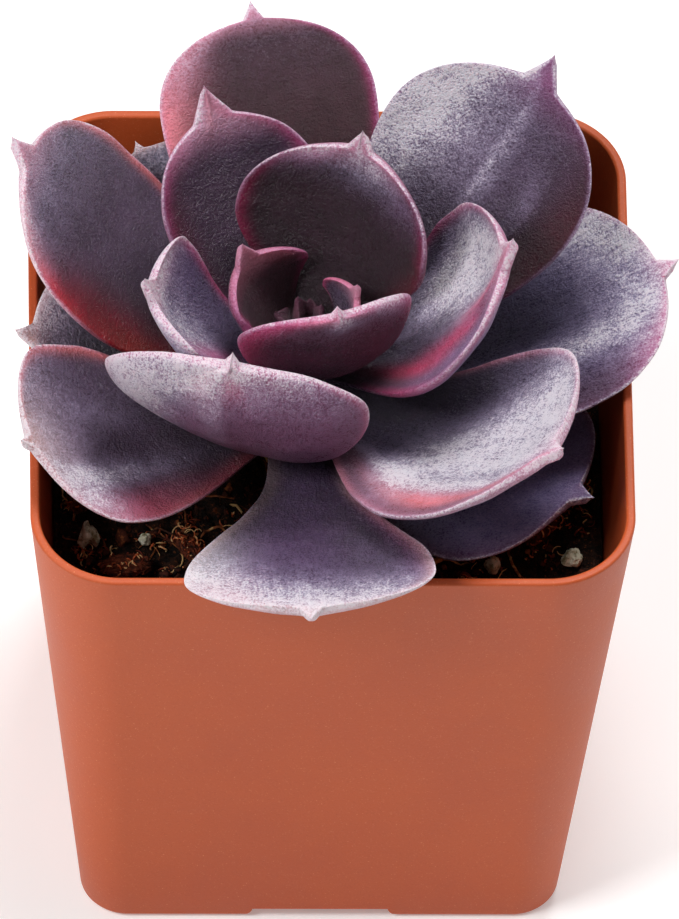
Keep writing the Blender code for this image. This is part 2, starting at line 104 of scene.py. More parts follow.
class Light(NamedTuple):
    """A square soft box aimed at the plant. Angles are in degrees."""

    name: str
    azimuth: float
    elevation: float
    distance: float
    size: float
    power: float


LIGHTS = (
    Light("top", 160, 66, 0.55, 0.2, 2.15),
    Light("left", -62, 48, 0.5, 0.18, 1.65),
    Light("right", 100, 30, 0.5, 0.4, 0.5),
    Light("front", -10, 40, 0.8, 0.4, 0.2),
)
SKY_STRENGTH = 0.15
FLOOR_GLOW, FLOOR_HALF = 0.2, 3.0
AIM = Vector((0, 0, 0.06))  # where every light points

# The pot, the mix and the stem. Their main sizes are the CAD model's.
POT_HEIGHT = 66.5 * MM
RIM_HALF, FOOT_HALF = 31.75 * MM, 25.5 * MM
RIM_CORNER, FOOT_CORNER = 9.3 * MM, 5.0 * MM
WALL = 1.0 * MM
LIP, LIP_STEPS = 0.32 * MM, 8
FOOT_ROUND, FOOT_STEPS = 0.8 * MM, 5
FLOOR_ROUND = 0.4 * MM
POT_AROUND, FLANK_RINGS, SIDE_SHARE = 240, 12, 1 / 6
NOTCH_WIDTH, NOTCH_HEIGHT, NOTCH_DEPTH = 14.5 * MM, 1.6 * MM, 8.0 * MM
NOTCH_FLARE, NOTCH_LEVELS = 1.2 * MM, 8
DRAIN_RADIUS, DRAIN_INSET, DRAIN_SIDES = 2.75 * MM, 4.5 * MM, 48
SHARP_ANGLE = math.radians(40)
SOIL_TOP, SOIL_BOTTOM, SOIL_GAP = 50.0 * MM, 2.9 * MM, 0.3 * MM
SOIL_LUMP, SOIL_GRAIN = 0.9 * MM, 6.0 * MM
CRUMB_LUMP, CRUMB_GRAIN = 0.9 * MM, 1.6 * MM
SOIL_AROUND, SOIL_RINGS = 400, 90
CRUMBS = (  # seed, count, and least and greatest size
    (11, 1100, 0.4 * MM, 1.3 * MM),
    (12, 70, 1.2 * MM, 2.0 * MM),
)
COIR = (13, 260)  # seed and count
TUFTS, HUSKS = (14, 110, 18), (15, 60)  # seed, tufts and fibres in each; seed and fibres
FIBRE_INSET, CURL_INSET, CURL_STEPS = 2.2 * MM, 2.6 * MM, 8
STEM_X, STEM_Y = -2.3 * MM, 0.4 * MM
STEM_RADIUS, STEM_NECK = 2.6 * MM, 2.15 * MM
STEM_FOOT, STEM_SHOULDER, STEM_TOP = 38.0 * MM, 50.6 * MM, 68.6 * MM
STEM_AROUND, STEM_ROWS, STEM_ROUND = 64, 150, 0.8 * MM
SCAR_STEP, SCAR_TURNS, SCAR_DEPTH, SCAR_WIDTH = 2.6 * MM, 1.9, 0.12 * MM, 0.12
CORK, CORK_GRAIN, CORK_SCALE = 0.05 * MM, 1.5 * MM, 2.2

# The leaves' common form, which is the CAD model's, and where their colours and bloom lie.
LEAF_SEAT = 2.5 * MM
MIDRIB_STEPS = 400
LEAST_BODY, BODY_SHARE = 0.9 * MM, 0.085
ABOVE_SHARE, BASE_BODY = 0.18, 0.75
THIN_FROM, THIN_BY, THIN_POWER = 0.35, 0.5, 1.4
UNDER_POWER = 3.2  # a higher power gives the margins a thicker, rounder underside
BASE_CUP = 0.35
SHOULDER_POWER, BLEND_POWER = 2.3, 3.0
POINT_SLOPE, POINT_POWER, POINT_FADE = 0.6, 1.3, 2.0
LEAF_AROUND, LEAF_ROWS = 72, 110
EVEN_ROWS = 0.55  # the rest of the rows crowd towards both ends
ROLL_RUN = 0.625  # of the length, over which a leaf turns to its full roll
RIM_SHARE, RIM_ZONE = 0.85, (0.05, 0.4)  # how fully a margin is coloured, and from where
TIP_ZONE = (2.2, 0.3)  # where a tip's colour begins and is full, in lengths of its point
BASE_SHADE_ZONE, TIP_DUST_ZONE = (0.6, 0.1), (0.6, 1.0)  # shares of the leaf's length; the first is where the painted shade at the base begins and where it is full
EDGE_DUST, EDGE_BAND, EDGE_ZONE = 0.5, 0.3, (0.3, 0.7)  # extra bloom on margins, its width in mm
FULL_LEAF = 20  # mm; shorter leaves have less bloom on their margins
SKIN_DEPTH = 1.36  # above 1 the skin's tones are darker and stronger than painted
SKIN_VIVID = 1.2  # above 1 they are less grey
UNEVEN, UNEVEN_GRAIN, UNEVEN_ZONE = 0.22 * MM, 4.5 * MM, (0.1, 0.4)
FACE_BLEND = 0.25  # how widely the two sides of a leaf run into each other at its margins
FOLD_RUN = 0.16  # of the leaf's length, over which a fold begins and ends


class Leaf(NamedTuple):
    """One leaf, as in the CAD model. Angles are in degrees and lengths in millimetres."""

    toward: float
    rise: float
    curl: float
    length: float
    width: float
    roll: float
    cup: float
    sweep: float
    height: float
    widest: float
    point: float
    neck: float
    lean: float
    waist: float = 1.5  # a higher power keeps the base narrow for longer


LEAVES = (
    Leaf(175, 30, 5, 34.0, 16.5, 19, 1, 16, 51.9, 0.78, 2.8, 0.24, 0.2),
    Leaf(337, 4, 17, 32.2, 25.0, -1, 1, -9, 52.9, 0.62, 2.7, 0.38, 0.1),
    Leaf(71, 8.5, 33, 31.6, 23.6, 0, 22, 0, 54.2, 0.64, 2.8, 0.32, 0.0),
    Leaf(269.5, 29, -8.5, 42.4, 26.4, -3, 7, 0, 54.3, 0.82, 2.4, 0.31, 0.2, 5.5),
    Leaf(211, 16.5, 20, 37.2, 23.0, 14, 15, 0, 56.7, 0.75, 2.0, 0.25, 0.2),
    Leaf(126, 4.0, 36, 31.6, 21.6, 13, 27, -2, 56.7, 0.70, 1.2, 0.24, 0.1),
    Leaf(5, 17, 6, 40.0, 26.5, 1, 8, 13, 57.5, 0.64, 2.4, 0.37, 0.2),
    Leaf(151.5, 14.5, 44, 41.0, 24.4, -9, 4, 8, 59.0, 0.64, 3.6, 0.27, 0.2),
    Leaf(239, 20, 78, 33.7, 28.8, -5.5, 16, 14, 59.2, 0.70, 1.6, 0.22, 0.2),
    Leaf(312, 8, 41, 38.0, 29.0, 5, 25, 13.5, 61.3, 0.68, 3.0, 0.22, -0.5),
    Leaf(97, 15, 21, 39.0, 23.4, 0, 11.5, 4.5, 61.3, 0.70, 2.1, 0.38, 0.1),
    Leaf(35.5, 23, 35, 41.0, 25.4, -13.5, 25, 8, 63.0, 0.63, 4.0, 0.22, 0.1),
    Leaf(121, 35.5, 31, 30.4, 19.4, 10, 41, 1, 63.7, 0.55, 4.2, 0.36, 0.0),
    Leaf(348, 20, 59, 30.0, 23.5, 6, 28, 16, 65.5, 0.58, 3.6, 0.33, 0.3),
    Leaf(191, 20, 55, 23.5, 16.5, 12, 47, 3, 65.5, 0.75, 2.9, 0.29, 0.1),
    Leaf(65, 52, 21, 23.0, 24.0, 4, 47, 1, 67.2, 0.52, 2.7, 0.39, 0.1),
    Leaf(282, 42, 48, 21.8, 20.0, 1, 35, 3, 67.3, 0.61, 1.3, 0.39, 0.2),
    Leaf(162, 53, 29, 13.3, 12.8, 27, 60, -3, 68.1, 0.52, 2.9, 0.50, -0.15),
    Leaf(346, 67, 14, 9.2, 8.4, -8, 60, 25, 68.6, 0.60, 1.7, 0.46, 0.3),
)
CROWN_LEAVES = (
    Leaf(150, 74, 8, 4.4, 2.4, 0, 40, 0, 69.3, 0.42, 2.4, 0.7, 0.0),
    Leaf(200, 44, 20, 5.6, 2.0, 0, 40, 0, 69.1, 0.42, 2.2, 0.7, 0.0),
    Leaf(262, 60, 16, 3.9, 2.2, 0, 40, 0, 69.2, 0.42, 1.9, 0.7, 0.0),
    Leaf(20, 70, 10, 3.3, 2.2, 0, 40, 0, 69.3, 0.42, 1.6, 0.7, 0.0),
    Leaf(85, 72, 10, 3.2, 2.2, 0, 40, 0, 69.4, 0.42, 1.6, 0.7, 0.0),
)
CROWN_SEAT = 0.5 * MM
CROWN_AROUND, CROWN_ROWS = 32, 40


def tone(red, green, blue):
    """A linear colour from the usual 0 to 255 screen values."""
    share = np.array((red, green, blue)) / 255
    return tuple(np.where(share <= 0.04045, share / 12.92, ((share + 0.055) / 1.055) ** 2.4))


def ramp(value, low, high):
    """0 below low, 1 above high and smooth between. High may be below low."""
    share = np.clip((value - low) / (high - low), 0, 1)
    return share * share * (3 - 2 * share)


class Patch(NamedTuple):
    """A soft blot of colour or dust on a leaf's skin. Some dark blots are painted shade and shadow."""

    leaf: int  # its number
    along: float  # its middle, from 0 at the base to 1 at the tip
    side: float  # and from -1 to 1 across, with 1 the counter-clockwise margin
    reach: float  # half its length, as a share of the leaf's
    spread: float  # half its width, as a share of half the blade
    face: int  # 1 on the upper side, -1 on the underside and 0 on both
    strength: float
    colour: tuple | None = None  # none adds dust


class Fold(NamedTuple):
    """A long ridge or trough in a leaf."""

    leaf: int
    side: float  # where it runs, from -1 to 1 across
    start: float  # where it begins and ends, as shares of the leaf's length
    end: float
    spread: float  # half its width, as a share of half the blade
    height: float  # towards the upper side, in mm
    face: int = 0  # as in a patch


class Paint(NamedTuple):
    """How a leaf is coloured and creased. Colours are screen values from 0 to 255."""

    upper: tuple
    under: tuple
    margin: tuple
    tip: tuple
    band: float  # width of the coloured margin, in mm
    dust_above: float  # share of the skin that the pale bloom covers
    dust_below: float
    dust_tip: float  # and what it gains towards the tip
    base_shade: float  # painted shade: how dark the leaf is made at its base, deep among the other leaves
    streaks: float = 0.3  # how far the bloom is rubbed along the leaf
    patches: tuple = ()
    folds: tuple = ()


ROSE, PEACH, CREAM = (206, 102, 140), (226, 146, 144), (236, 212, 206)
CRIMSON, VIOLET = (140, 16, 36), (122, 66, 106)
TAN, BLUSH, MAUVE = (200, 160, 132), (232, 174, 188), (182, 98, 138)
DEEP, LILAC = (46, 26, 34), (160, 136, 166)

PAINTS = (
    Paint((84, 80, 82), (90, 86, 88), CREAM, TAN, 2.0, 0.12, 0.2, 0.5, 0.5),
    Paint((120, 112, 150), (96, 74, 92), VIOLET, (128, 108, 142), 0.9, 0.25, 0.1, 0.1, 0.7),
    Paint((98, 86, 100), (104, 84, 98), ROSE, CREAM, 1.2, 0.15, 0.25, 0.4, 0.5),
    Paint((92, 66, 100), (176, 140, 146), CREAM, CREAM, 1.2, 0.12, 0.35, 0.1, 0.25, 0.5),
    Paint((88, 70, 88), (198, 172, 188), PEACH, TAN, 1.1, 0.1, 0.6, 0.45, 0.45, 0.4),
    Paint((122, 122, 130), (96, 92, 100), CREAM, CREAM, 1.1, 0.3, 0.2, 0.3, 0.4),
    Paint((98, 90, 120), (118, 84, 108), MAUVE, BLUSH, 0.9, 0.2, 0.2, 0.35, 0.3, 0.7),
    Paint((96, 78, 96), (218, 170, 184), PEACH, BLUSH, 1.0, 0.1, 0.5, 0.45, 0.35, 0.15),
    Paint((96, 72, 92), (142, 94, 120), (206, 112, 140), BLUSH, 0.7, 0.3, 0.22, 0.35, 0.1, 0.5),
    Paint((88, 74, 98), (180, 146, 162), BLUSH, BLUSH, 0.8, 0.08, 0.35, 0.2, 0.3, 0.45),
    Paint((84, 54, 62), (92, 62, 72), MAUVE, BLUSH, 0.8, 0.02, 0.1, 0.12, 0.35, 0.1),
    Paint((86, 64, 86), (78, 50, 62), (128, 56, 108), (160, 100, 138), 0.6, 0.12, 0.1, 0.12, 0.3, 0.0),
    Paint((82, 58, 80), (110, 74, 96), MAUVE, BLUSH, 1.4, 0.06, 0.15, 0.15, 0.15, 0.2),
    Paint((92, 76, 98), (152, 132, 160), ROSE, BLUSH, 0.9, 0.1, 0.35, 0.1, 0.6, 0.5),
    Paint((104, 88, 118), (192, 180, 206), ROSE, BLUSH, 0.8, 0.2, 0.55, 0.55, 0.3, 0.6),
    Paint((64, 34, 48), (84, 44, 60), (156, 52, 96), BLUSH, 1.3, 0.04, 0.1, 0.3, 0.15),
    Paint((80, 44, 60), (106, 48, 70), (212, 108, 148), BLUSH, 1.7, 0.05, 0.08, 0.15, 0.15),
    Paint((84, 50, 62), (110, 72, 96), MAUVE, BLUSH, 0.9, 0.04, 0.12, 0.08, 0.15),
    Paint((92, 70, 92), (160, 84, 104), ROSE, BLUSH, 0.4, 0.15, 0.1, 0.2, 0.2),
)
PATCH_ROWS = (
    (1, 0.95, -0.7, 0.14, 0.5, 0, 0.5),
    # painted shadow: leaf 2 goes near black where the leaf above it shades it
    (2, 0.36, 0.0, 0.22, 2.0, 0, 0.75, (20, 16, 18)),
    (2, 0.82, -0.95, 0.2, 0.25, 0, 0.5, VIOLET),
    # painted shade on the shaded left side of leaf 4's neck
    (4, 0.38, -1.0, 0.24, 0.4, 0, 0.9, (56, 34, 42)),
    (4, 0.96, 0.0, 0.13, 1.4, 1, 0.85),
    (4, 0.82, -0.9, 0.16, 0.35, 1, 0.7),
    (4, 0.78, -0.9, 0.16, 0.3, 1, 0.6, (206, 208, 192)),
    (4, 0.9, -0.8, 0.08, 0.3, 1, 0.6, PEACH),
    (4, 0.66, 0.55, 0.2, 0.35, 1, 0.5, (52, 44, 48)),
    (4, 0.5, 0.95, 0.3, 0.15, 1, 0.5, MAUVE),
    (5, 0.7, 0.42, 0.22, 0.14, 1, 0.5),
    (5, 0.86, 0.75, 0.12, 0.35, 1, 0.4),
    (5, 0.7, 0.86, 0.22, 0.22, 0, 0.85, (206, 122, 138)),
    (5, 0.34, 0.95, 0.14, 0.2, 0, 0.7, (116, 28, 60)),
    (5, 0.94, 0.1, 0.12, 1.0, 1, 0.6, CREAM),
    (5, 0.6, -0.3, 0.2, 0.25, 1, 0.12),
    (7, 0.64, -0.4, 0.26, 0.16, 1, 0.6),
    (7, 0.78, 0.75, 0.24, 0.3, 1, 0.5),
    (7, 0.88, -0.1, 0.12, 0.8, 1, 0.25),
    (7, 0.5, 0.05, 0.28, 0.2, 1, 0.5, (62, 56, 78)),
    (7, 0.66, -0.9, 0.22, 0.24, 0, 0.8, (96, 58, 78)),
    (7, 0.9, -0.9, 0.12, 0.25, 0, 0.7, ROSE),
    (8, 0.4, 1.0, 0.2, 0.45, 0, -0.4),
    (8, 0.38, 0.95, 0.22, 0.36, 0, 0.95, CRIMSON),
    (8, 0.54, 0.85, 0.16, 0.3, 1, 0.6, (140, 36, 54)),
    (8, 0.7, 0.98, 0.1, 0.16, 0, 0.8, (214, 84, 96)),
    (8, 0.86, 0.95, 0.12, 0.22, 0, 0.7, (242, 176, 178)),
    (8, 0.86, 0.9, 0.1, 0.2, 1, 0.3),
    (8, 0.3, 0.2, 0.2, 0.8, 1, 0.4, DEEP),
    (9, 0.76, -0.8, 0.45, 0.32, -1, 0.9),
    (9, 0.9, -0.45, 0.14, 0.3, -1, 0.4),
    (9, 0.98, 0.0, 0.06, 2.0, 0, 0.7),
    (9, 0.76, -0.42, 0.1, 0.14, -1, 0.6, (90, 76, 104)),
    (9, 0.9, -0.28, 0.11, 0.14, -1, 0.8, (240, 208, 210)),
    (9, 0.91, 0.03, 0.08, 0.1, -1, 0.9, (206, 84, 112)),
    (9, 0.92, 0.5, 0.05, 0.4, -1, 0.8, (150, 62, 94)),
    (9, 0.7, -0.13, 0.3, 0.06, -1, 0.3),
    (10, 0.8, 0.3, 0.22, 0.75, 1, 1.1),
    (10, 0.58, -0.1, 0.18, 0.35, 1, 0.7),
    (10, 0.5, -0.6, 0.14, 0.3, 1, 0.6),
    (10, 0.62, -0.55, 0.3, 0.08, 1, 0.6),
    # painted shade in leaf 10's trough, on its far side towards the base, under the leaf behind it
    (10, 0.3, 0.5, 0.25, 0.6, 1, 0.6, (52, 38, 58)),
    (10, 0.36, -0.32, 0.12, 0.14, 1, 0.6, (70, 56, 88)),
    (10, 0.7, -0.74, 0.3, 0.15, 1, 0.95, (238, 152, 152)),
    (10, 0.7, -1.0, 0.35, 0.12, 0, 0.8, (170, 118, 134)),
    (11, 0.74, 0.98, 0.34, 0.32, 0, 0.9, (234, 166, 174)),
    (11, 0.86, 0.9, 0.12, 0.25, 1, 0.4),
    (11, 0.98, 0.0, 0.05, 1.2, 0, 0.4),
    (12, 0.7, 0.3, 0.22, 0.45, 1, 0.26),
    (12, 0.7, 1.0, 0.3, 0.5, 1, 1.2),
    (12, 0.66, -0.02, 0.2, 0.07, 1, 0.4),
    (12, 0.62, -0.45, 0.1, 0.12, 1, 0.2),
    (12, 0.36, -0.5, 0.26, 0.8, 1, 0.85, (48, 24, 30)),
    (12, 0.5, -1.0, 0.3, 0.5, 1, -0.2),
    (12, 0.62, -0.95, 0.26, 0.3, 1, 0.8, (84, 20, 38)),
    (12, 0.86, -0.45, 0.14, 0.3, 1, 0.4, (84, 64, 78)),
    (13, 0.9, 0.8, 0.09, 0.4, 1, 0.6),
    (13, 0.86, 0.85, 0.1, 0.3, 1, 0.9, (246, 176, 206)),
    (13, 0.92, 0.25, 0.07, 0.35, 1, 0.9, (246, 208, 212)),
    (13, 0.5, 0.85, 0.2, 0.2, 1, 0.6, (104, 24, 52)),
    (13, 0.86, -0.3, 0.1, 0.6, 1, 0.15),
    (14, 0.66, 0.35, 0.32, 0.55, 1, 1.1),
    (14, 0.42, 0.9, 0.12, 0.2, 1, -0.6),
    (14, 0.42, 0.9, 0.14, 0.22, 1, 0.6, (76, 70, 94)),
    (14, 0.46, -0.66, 0.22, 0.14, 1, 0.95, (214, 70, 104)),
    (14, 0.62, -0.5, 0.16, 0.12, 1, 0.95, (222, 80, 116)),
    (14, 0.78, -0.26, 0.16, 0.12, 1, 0.95, (230, 96, 130)),
    (14, 0.92, 0.0, 0.08, 0.2, 1, 0.9, (206, 96, 126)),
    (14, 0.76, -0.85, 0.34, 0.34, 1, 0.9, LILAC),
    (15, 0.62, 0.2, 0.22, 0.5, 1, 0.6),
    (15, 0.5, 0.55, 0.2, 0.22, 1, 0.85, (206, 110, 150)),
    (15, 0.88, -0.4, 0.12, 0.6, 1, 0.6, BLUSH),
    (15, 0.9, -0.5, 0.12, 0.5, 1, 0.35),
    (15, 0.86, 0.05, 0.05, 0.2, 1, 0.6, (206, 110, 138)),
    (16, 0.83, -0.15, 0.11, 0.45, 1, 0.35),
    (16, 0.74, -0.6, 0.14, 0.4, 1, 0.14),
    (16, 0.88, 0.8, 0.1, 0.35, 1, 0.6),
    (16, 0.76, -0.7, 0.14, 0.3, 1, 0.5, (134, 90, 126)),
    (16, 0.88, 0.7, 0.1, 0.3, 1, 0.8, (240, 176, 208)),
    (16, 0.3, -0.95, 0.2, 0.2, 1, 0.7, (92, 16, 36)),
    (16, 0.94, 0.0, 0.06, 0.2, 1, 0.5),
    (17, 0.93, 0.15, 0.07, 0.3, -1, 0.6),
    (17, 0.86, 0.95, 0.12, 0.3, -1, 0.5),
    (17, 0.55, -0.9, 0.3, 0.2, -1, 0.5, (168, 56, 92)),
    (18, 0.74, -0.7, 0.14, 0.3, 1, 0.6, (140, 60, 78)),
    (18, 0.7, 0.75, 0.2, 0.3, 1, 0.4, (110, 74, 98)),
)
PATCHES = [Patch(*row) for row in PATCH_ROWS]
FOLD_ROWS = (
    (4, -0.25, 0.62, 0.95, 0.3, 0.35),
    (4, 0.35, 0.6, 0.9, 0.3, -0.35),
    (5, 0.62, 0.3, 0.9, 0.16, 0.4),
    (7, 0.05, 0.2, 0.8, 0.28, -0.6),
    (7, -0.45, 0.3, 0.85, 0.22, 0.4),
    (9, -0.1, 0.55, 1.1, 0.14, -0.5, -1),
    (9, -0.45, 0.5, 0.95, 0.16, 0.3, -1),
    (10, 0.35, 0.1, 0.6, 0.3, -0.6),
    (10, -0.55, 0.25, 0.9, 0.14, 0.35),
    (12, 0.0, 0.4, 0.85, 0.09, 0.3),
    (12, -0.25, 0.4, 0.8, 0.16, -0.25),
    (13, 0.1, 0.75, 1.1, 0.12, 0.25),
    (14, 0.75, 0.2, 0.75, 0.25, -0.5),
    (14, -0.35, 0.3, 0.95, 0.12, 0.35),
    (15, -0.1, 0.3, 0.85, 0.2, -0.3),
    (16, 0.0, 0.78, 1.1, 0.1, 0.25),
    (17, 0.0, 0.4, 1.1, 0.14, -0.35, -1),
)
FOLDS = [Fold(*row) for row in FOLD_ROWS]
CROWN_PAINT = Paint(
    (64, 38, 48), (60, 34, 46), (96, 58, 72), (120, 80, 96), 0.15, 0.04, 0.02, 0.05, 0.6
)


def half_width(leaf, share):
    """Half the blade's width: it widens from the neck, rounds off and ends in a point."""
    full = leaf.width * MM / 2
    widening = np.sin(np.pi / 2 * np.minimum(1, share / leaf.widest)) ** leaf.waist
    lower = full * (leaf.neck + (1 - leaf.neck) * widening)
    end = 1 - leaf.point / leaf.length
    fall = np.clip((share - leaf.widest) / (end - leaf.widest), 0, 1)
    shoulders = full * np.sqrt(1 - fall**SHOULDER_POWER)
    to_tip = (1 - share) / (1 - end)
    point = POINT_SLOPE * leaf.point * MM * to_tip**POINT_POWER * np.exp(-((to_tip / POINT_FADE) ** 4))
    upper = (shoulders**BLEND_POWER + point**BLEND_POWER) ** (1 / BLEND_POWER)
    return np.where(share < leaf.widest, lower, upper)


def thickness(leaf, share):
    body = LEAST_BODY + BODY_SHARE * leaf.width * MM
    swell = BASE_BODY + (1 - BASE_BODY) * np.sin(np.pi * np.minimum(1, share / (2 * THIN_FROM)))
    thinning = 1 - THIN_BY * (np.maximum(0, share - THIN_FROM) / (1 - THIN_FROM)) ** THIN_POWER
    return np.minimum(body * swell * thinning, 2 * half_width(leaf, share))


def directions(leaf, share):
    """(along, across, up) at these shares of the midrib; across points counter-clockwise."""
    heading = np.radians(leaf.toward + leaf.sweep * share)
    pitch = np.radians(leaf.rise + leaf.curl * share)
    outward = np.stack((np.cos(heading), np.sin(heading), np.zeros_like(share)), -1)
    upward = np.array((0.0, 0.0, 1.0))
    cos, sin = np.cos(pitch)[..., None], np.sin(pitch)[..., None]
    along, up = cos * outward + sin * upward, cos * upward - sin * outward
    across = np.cross(up, along)
    roll = np.radians(leaf.roll) * np.minimum(1, share / ROLL_RUN)
    cos, sin = np.cos(roll)[..., None], np.sin(roll)[..., None]
    return along, cos * across - sin * up, cos * up + sin * across


def midrib(leaf, share, seat):
    """The midrib's points at these shares of its length, stepped out from the stem."""
    middles = (np.arange(MIDRIB_STEPS) + 0.5) / MIDRIB_STEPS
    steps = directions(leaf, middles)[0] * leaf.length * MM / MIDRIB_STEPS
    walked = np.concatenate((np.zeros((1, 3)), np.cumsum(steps, 0)))
    knots = np.linspace(0, 1, MIDRIB_STEPS + 1)
    toward = math.radians(leaf.toward)
    base = np.array((STEM_X, STEM_Y, leaf.height * MM))
    base += seat * np.array((math.cos(toward), math.sin(toward), 0))
    return base + np.stack([np.interp(share, knots, walked[:, axis]) for axis in range(3)], -1)


def facing(face, want):
    """1 on the wanted side of a leaf, 0 on the other and smooth over its margins."""
    return ramp(want * face, -FACE_BLEND, FACE_BLEND) if want else 1


def relief(leaf, folds, share, side, face):
    """How far the skin departs from the plain form, towards the upper side."""
    across = side * half_width(leaf, share)
    spots = np.stack((across, share * leaf.length * MM, 0 * share + leaf.toward * MM), -1)
    uneven = [noise.noise(Vector(spot)) for spot in spots.reshape(-1, 3) / UNEVEN_GRAIN]
    lift = UNEVEN * np.reshape(uneven, share.shape) * ramp(share, *UNEVEN_ZONE)
    for fold in folds:
        run = ramp(share, fold.start, fold.start + FOLD_RUN) * ramp(share, fold.end, fold.end - FOLD_RUN)
        rise = np.exp(-(((side - fold.side) / fold.spread) ** 2))
        lift = lift + fold.height * MM * run * rise * facing(face, fold.face)
    return lift


def leaf_grid(leaf, seat, around, rows, folds=()):
    """(points, shares, sides, faces) of a leaf's skin, a row for each step along it."""
    even = np.linspace(0, 1, rows + 1)[:, None]
    share = EVEN_ROWS * even + (1 - EVEN_ROWS) * (1 - np.cos(np.pi * even)) / 2
    share = np.repeat(share, around, 1)
    turn = np.linspace(0, math.tau, around, endpoint=False)[None, :]
    side, face = np.cos(turn) + 0 * share, np.sin(turn) + 0 * share
    half = half_width(leaf, share)
    cup = math.radians(leaf.cup) * (1 + np.copysign(leaf.lean, side))
    cup = cup * (BASE_CUP + (1 - BASE_CUP) * np.minimum(1, 2 * share))
    cup = cup * np.sqrt(np.minimum(1, 2 * half / (leaf.width * MM)))
    radius = half / np.maximum(cup, 0.001)
    angle = cup * side
    below = np.sqrt(1 - np.abs(side) ** UNDER_POWER)
    depth = np.where(face > 0, ABOVE_SHARE * face, (ABOVE_SHARE - 1) * below)
    depth = depth * thickness(leaf, share)
    sideways = (radius - depth) * np.sin(angle)
    raised = radius - (radius - depth) * np.cos(angle) + relief(leaf, folds, share, side, face)
    _, across, up = directions(leaf, share)
    points = midrib(leaf, share, seat) + sideways[..., None] * across + raised[..., None] * up
    return points, share, side, face


def grid_rows(grid):
    """The grid as one list, with its first and last rows as single poles."""
    flat = grid.reshape(*grid.shape[:2], -1)
    body = flat[1:-1].reshape(-1, flat.shape[-1])
    return np.concatenate((flat[:1].mean(1), body, flat[-1:].mean(1)))


def grid_faces(around, rows):
    """The faces of a closed skin over the grid's rows, from its first pole to its last."""

    def at(row, step):
        return 1 + (row - 1) * around + step % around

    last = 1 + (rows - 1) * around
    faces = [(0, at(1, step + 1), at(1, step)) for step in range(around)]
    for row in range(1, rows - 1):
        for step in range(around):
            faces.append(
                (at(row, step), at(row, step + 1), at(row + 1, step + 1), at(row + 1, step))
            )
    faces += [(last, at(rows - 1, step), at(rows - 1, step + 1)) for step in range(around)]
    return faces


def grid_mesh(name, points):
    mesh = bpy.data.meshes.new(name)
    rows, around = points.shape[0] - 1, points.shape[1]
    mesh.from_pydata(grid_rows(points).tolist(), [], grid_faces(around, rows))
    mesh.shade_smooth()
    return mesh


def keep_values(mesh, name, values):
    """Stores one number or three for each point of the mesh, for its material to read."""
    values = np.asarray(values, np.float32).reshape(len(mesh.vertices), -1)
    kind, key = ("FLOAT", "value") if values.shape[1] == 1 else ("FLOAT_VECTOR", "vector")
    mesh.attributes.new(name, kind, "POINT").data.foreach_set(key, values.ravel())


def shown(name, data):
    """A new object in the scene."""
    made = bpy.data.objects.new(name, data)
    bpy.context.scene.collection.objects.link(made)
    return made


def add_piece(name, data, material, slot, *nodes):
    """A shown piece that rides on the one body and stands for these CAD nodes."""
    piece = shown(name, data)
    data.materials.append(material)
    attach(piece, "root")
    if nodes:
        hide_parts(*nodes)
    return piece


def stand_in(node, points, material, slots):
    """A finer skin through these points, in place of a CAD node."""
    name = f"fine_{node}"
    return add_piece(name, grid_mesh(name, points), material, slots[node], node)


# Materials.


def feed(tree, socket, value):
    """Gives an input a plain value or another node's output."""
    if isinstance(value, bpy.types.NodeSocket):
        tree.links.new(value, socket)
    elif socket.type == "RGBA":
        socket.default_value = (*value, 1)
    else:
        socket.default_value = value


def new_node(tree, kind, inputs=None, **settings):
    made = tree.nodes.new(kind)
    for name, value in settings.items():
        setattr(made, name, value)
    for name, value in (inputs or {}).items():
        feed(tree, made.inputs[name], value)
    return made


def maths(tree, operation, *values, clamp=False):
    inputs = dict(enumerate(values))
    return new_node(tree, "ShaderNodeMath", inputs, operation=operation, use_clamp=clamp).outputs[0]


def stretched(tree, vector, factors):
    """The vector, times a factor for each axis."""
    inputs = {0: vector, 1: factors}
    return new_node(tree, "ShaderNodeVectorMath", inputs, operation="MULTIPLY").outputs[0]


def millimetres(tree):
    """The object's coordinates in millimetres."""
    return stretched(tree, new_node(tree, "ShaderNodeTexCoord").outputs["Object"], MM_PER_M)


def stored(tree, name, output):
    """What the mesh keeps for each point under this name."""
    return new_node(tree, "ShaderNodeAttribute", attribute_name=name).outputs[output]


def grain(tree, where, scale, detail, roughness):
    """Noise around a half, with features 1 / scale wide."""
    inputs = {"Vector": where, "Scale": scale, "Detail": detail, "Roughness": roughness}
    return new_node(tree, "ShaderNodeTexNoise", inputs).outputs[0]


def remap(tree, value, low, high, new_low=0.0, new_high=1.0):
    inputs = {"Value": value, "From Min": low, "From Max": high, "To Min": new_low, "To Max": new_high}
    made = new_node(tree, "ShaderNodeMapRange", inputs, interpolation_type="SMOOTHSTEP")
    return made.outputs[0]


def mixed(tree, share, first, second, how="MIX"):
    """Two colours mixed by share."""
    inputs = {0: share, 6: first, 7: second}
    made = new_node(tree, "ShaderNodeMix", inputs, data_type="RGBA", blend_type=how)
    return made.outputs[2]


def new_material(name):
    """(material, its node tree)"""
    material = bpy.data.materials.new(name)
    material.use_nodes = True
    return material, material.node_tree


def set_shader(tree, **inputs):
    shader = tree.nodes["Principled BSDF"]
    for name, value in inputs.items():
        feed(tree, shader.inputs[name.replace("_", " ")], value)


def bumped(tree, height, distance, strength):
    inputs = {"Height": height, "Distance": distance, "Strength": strength}
    return new_node(tree, "ShaderNodeBump", inputs).outputs[0]


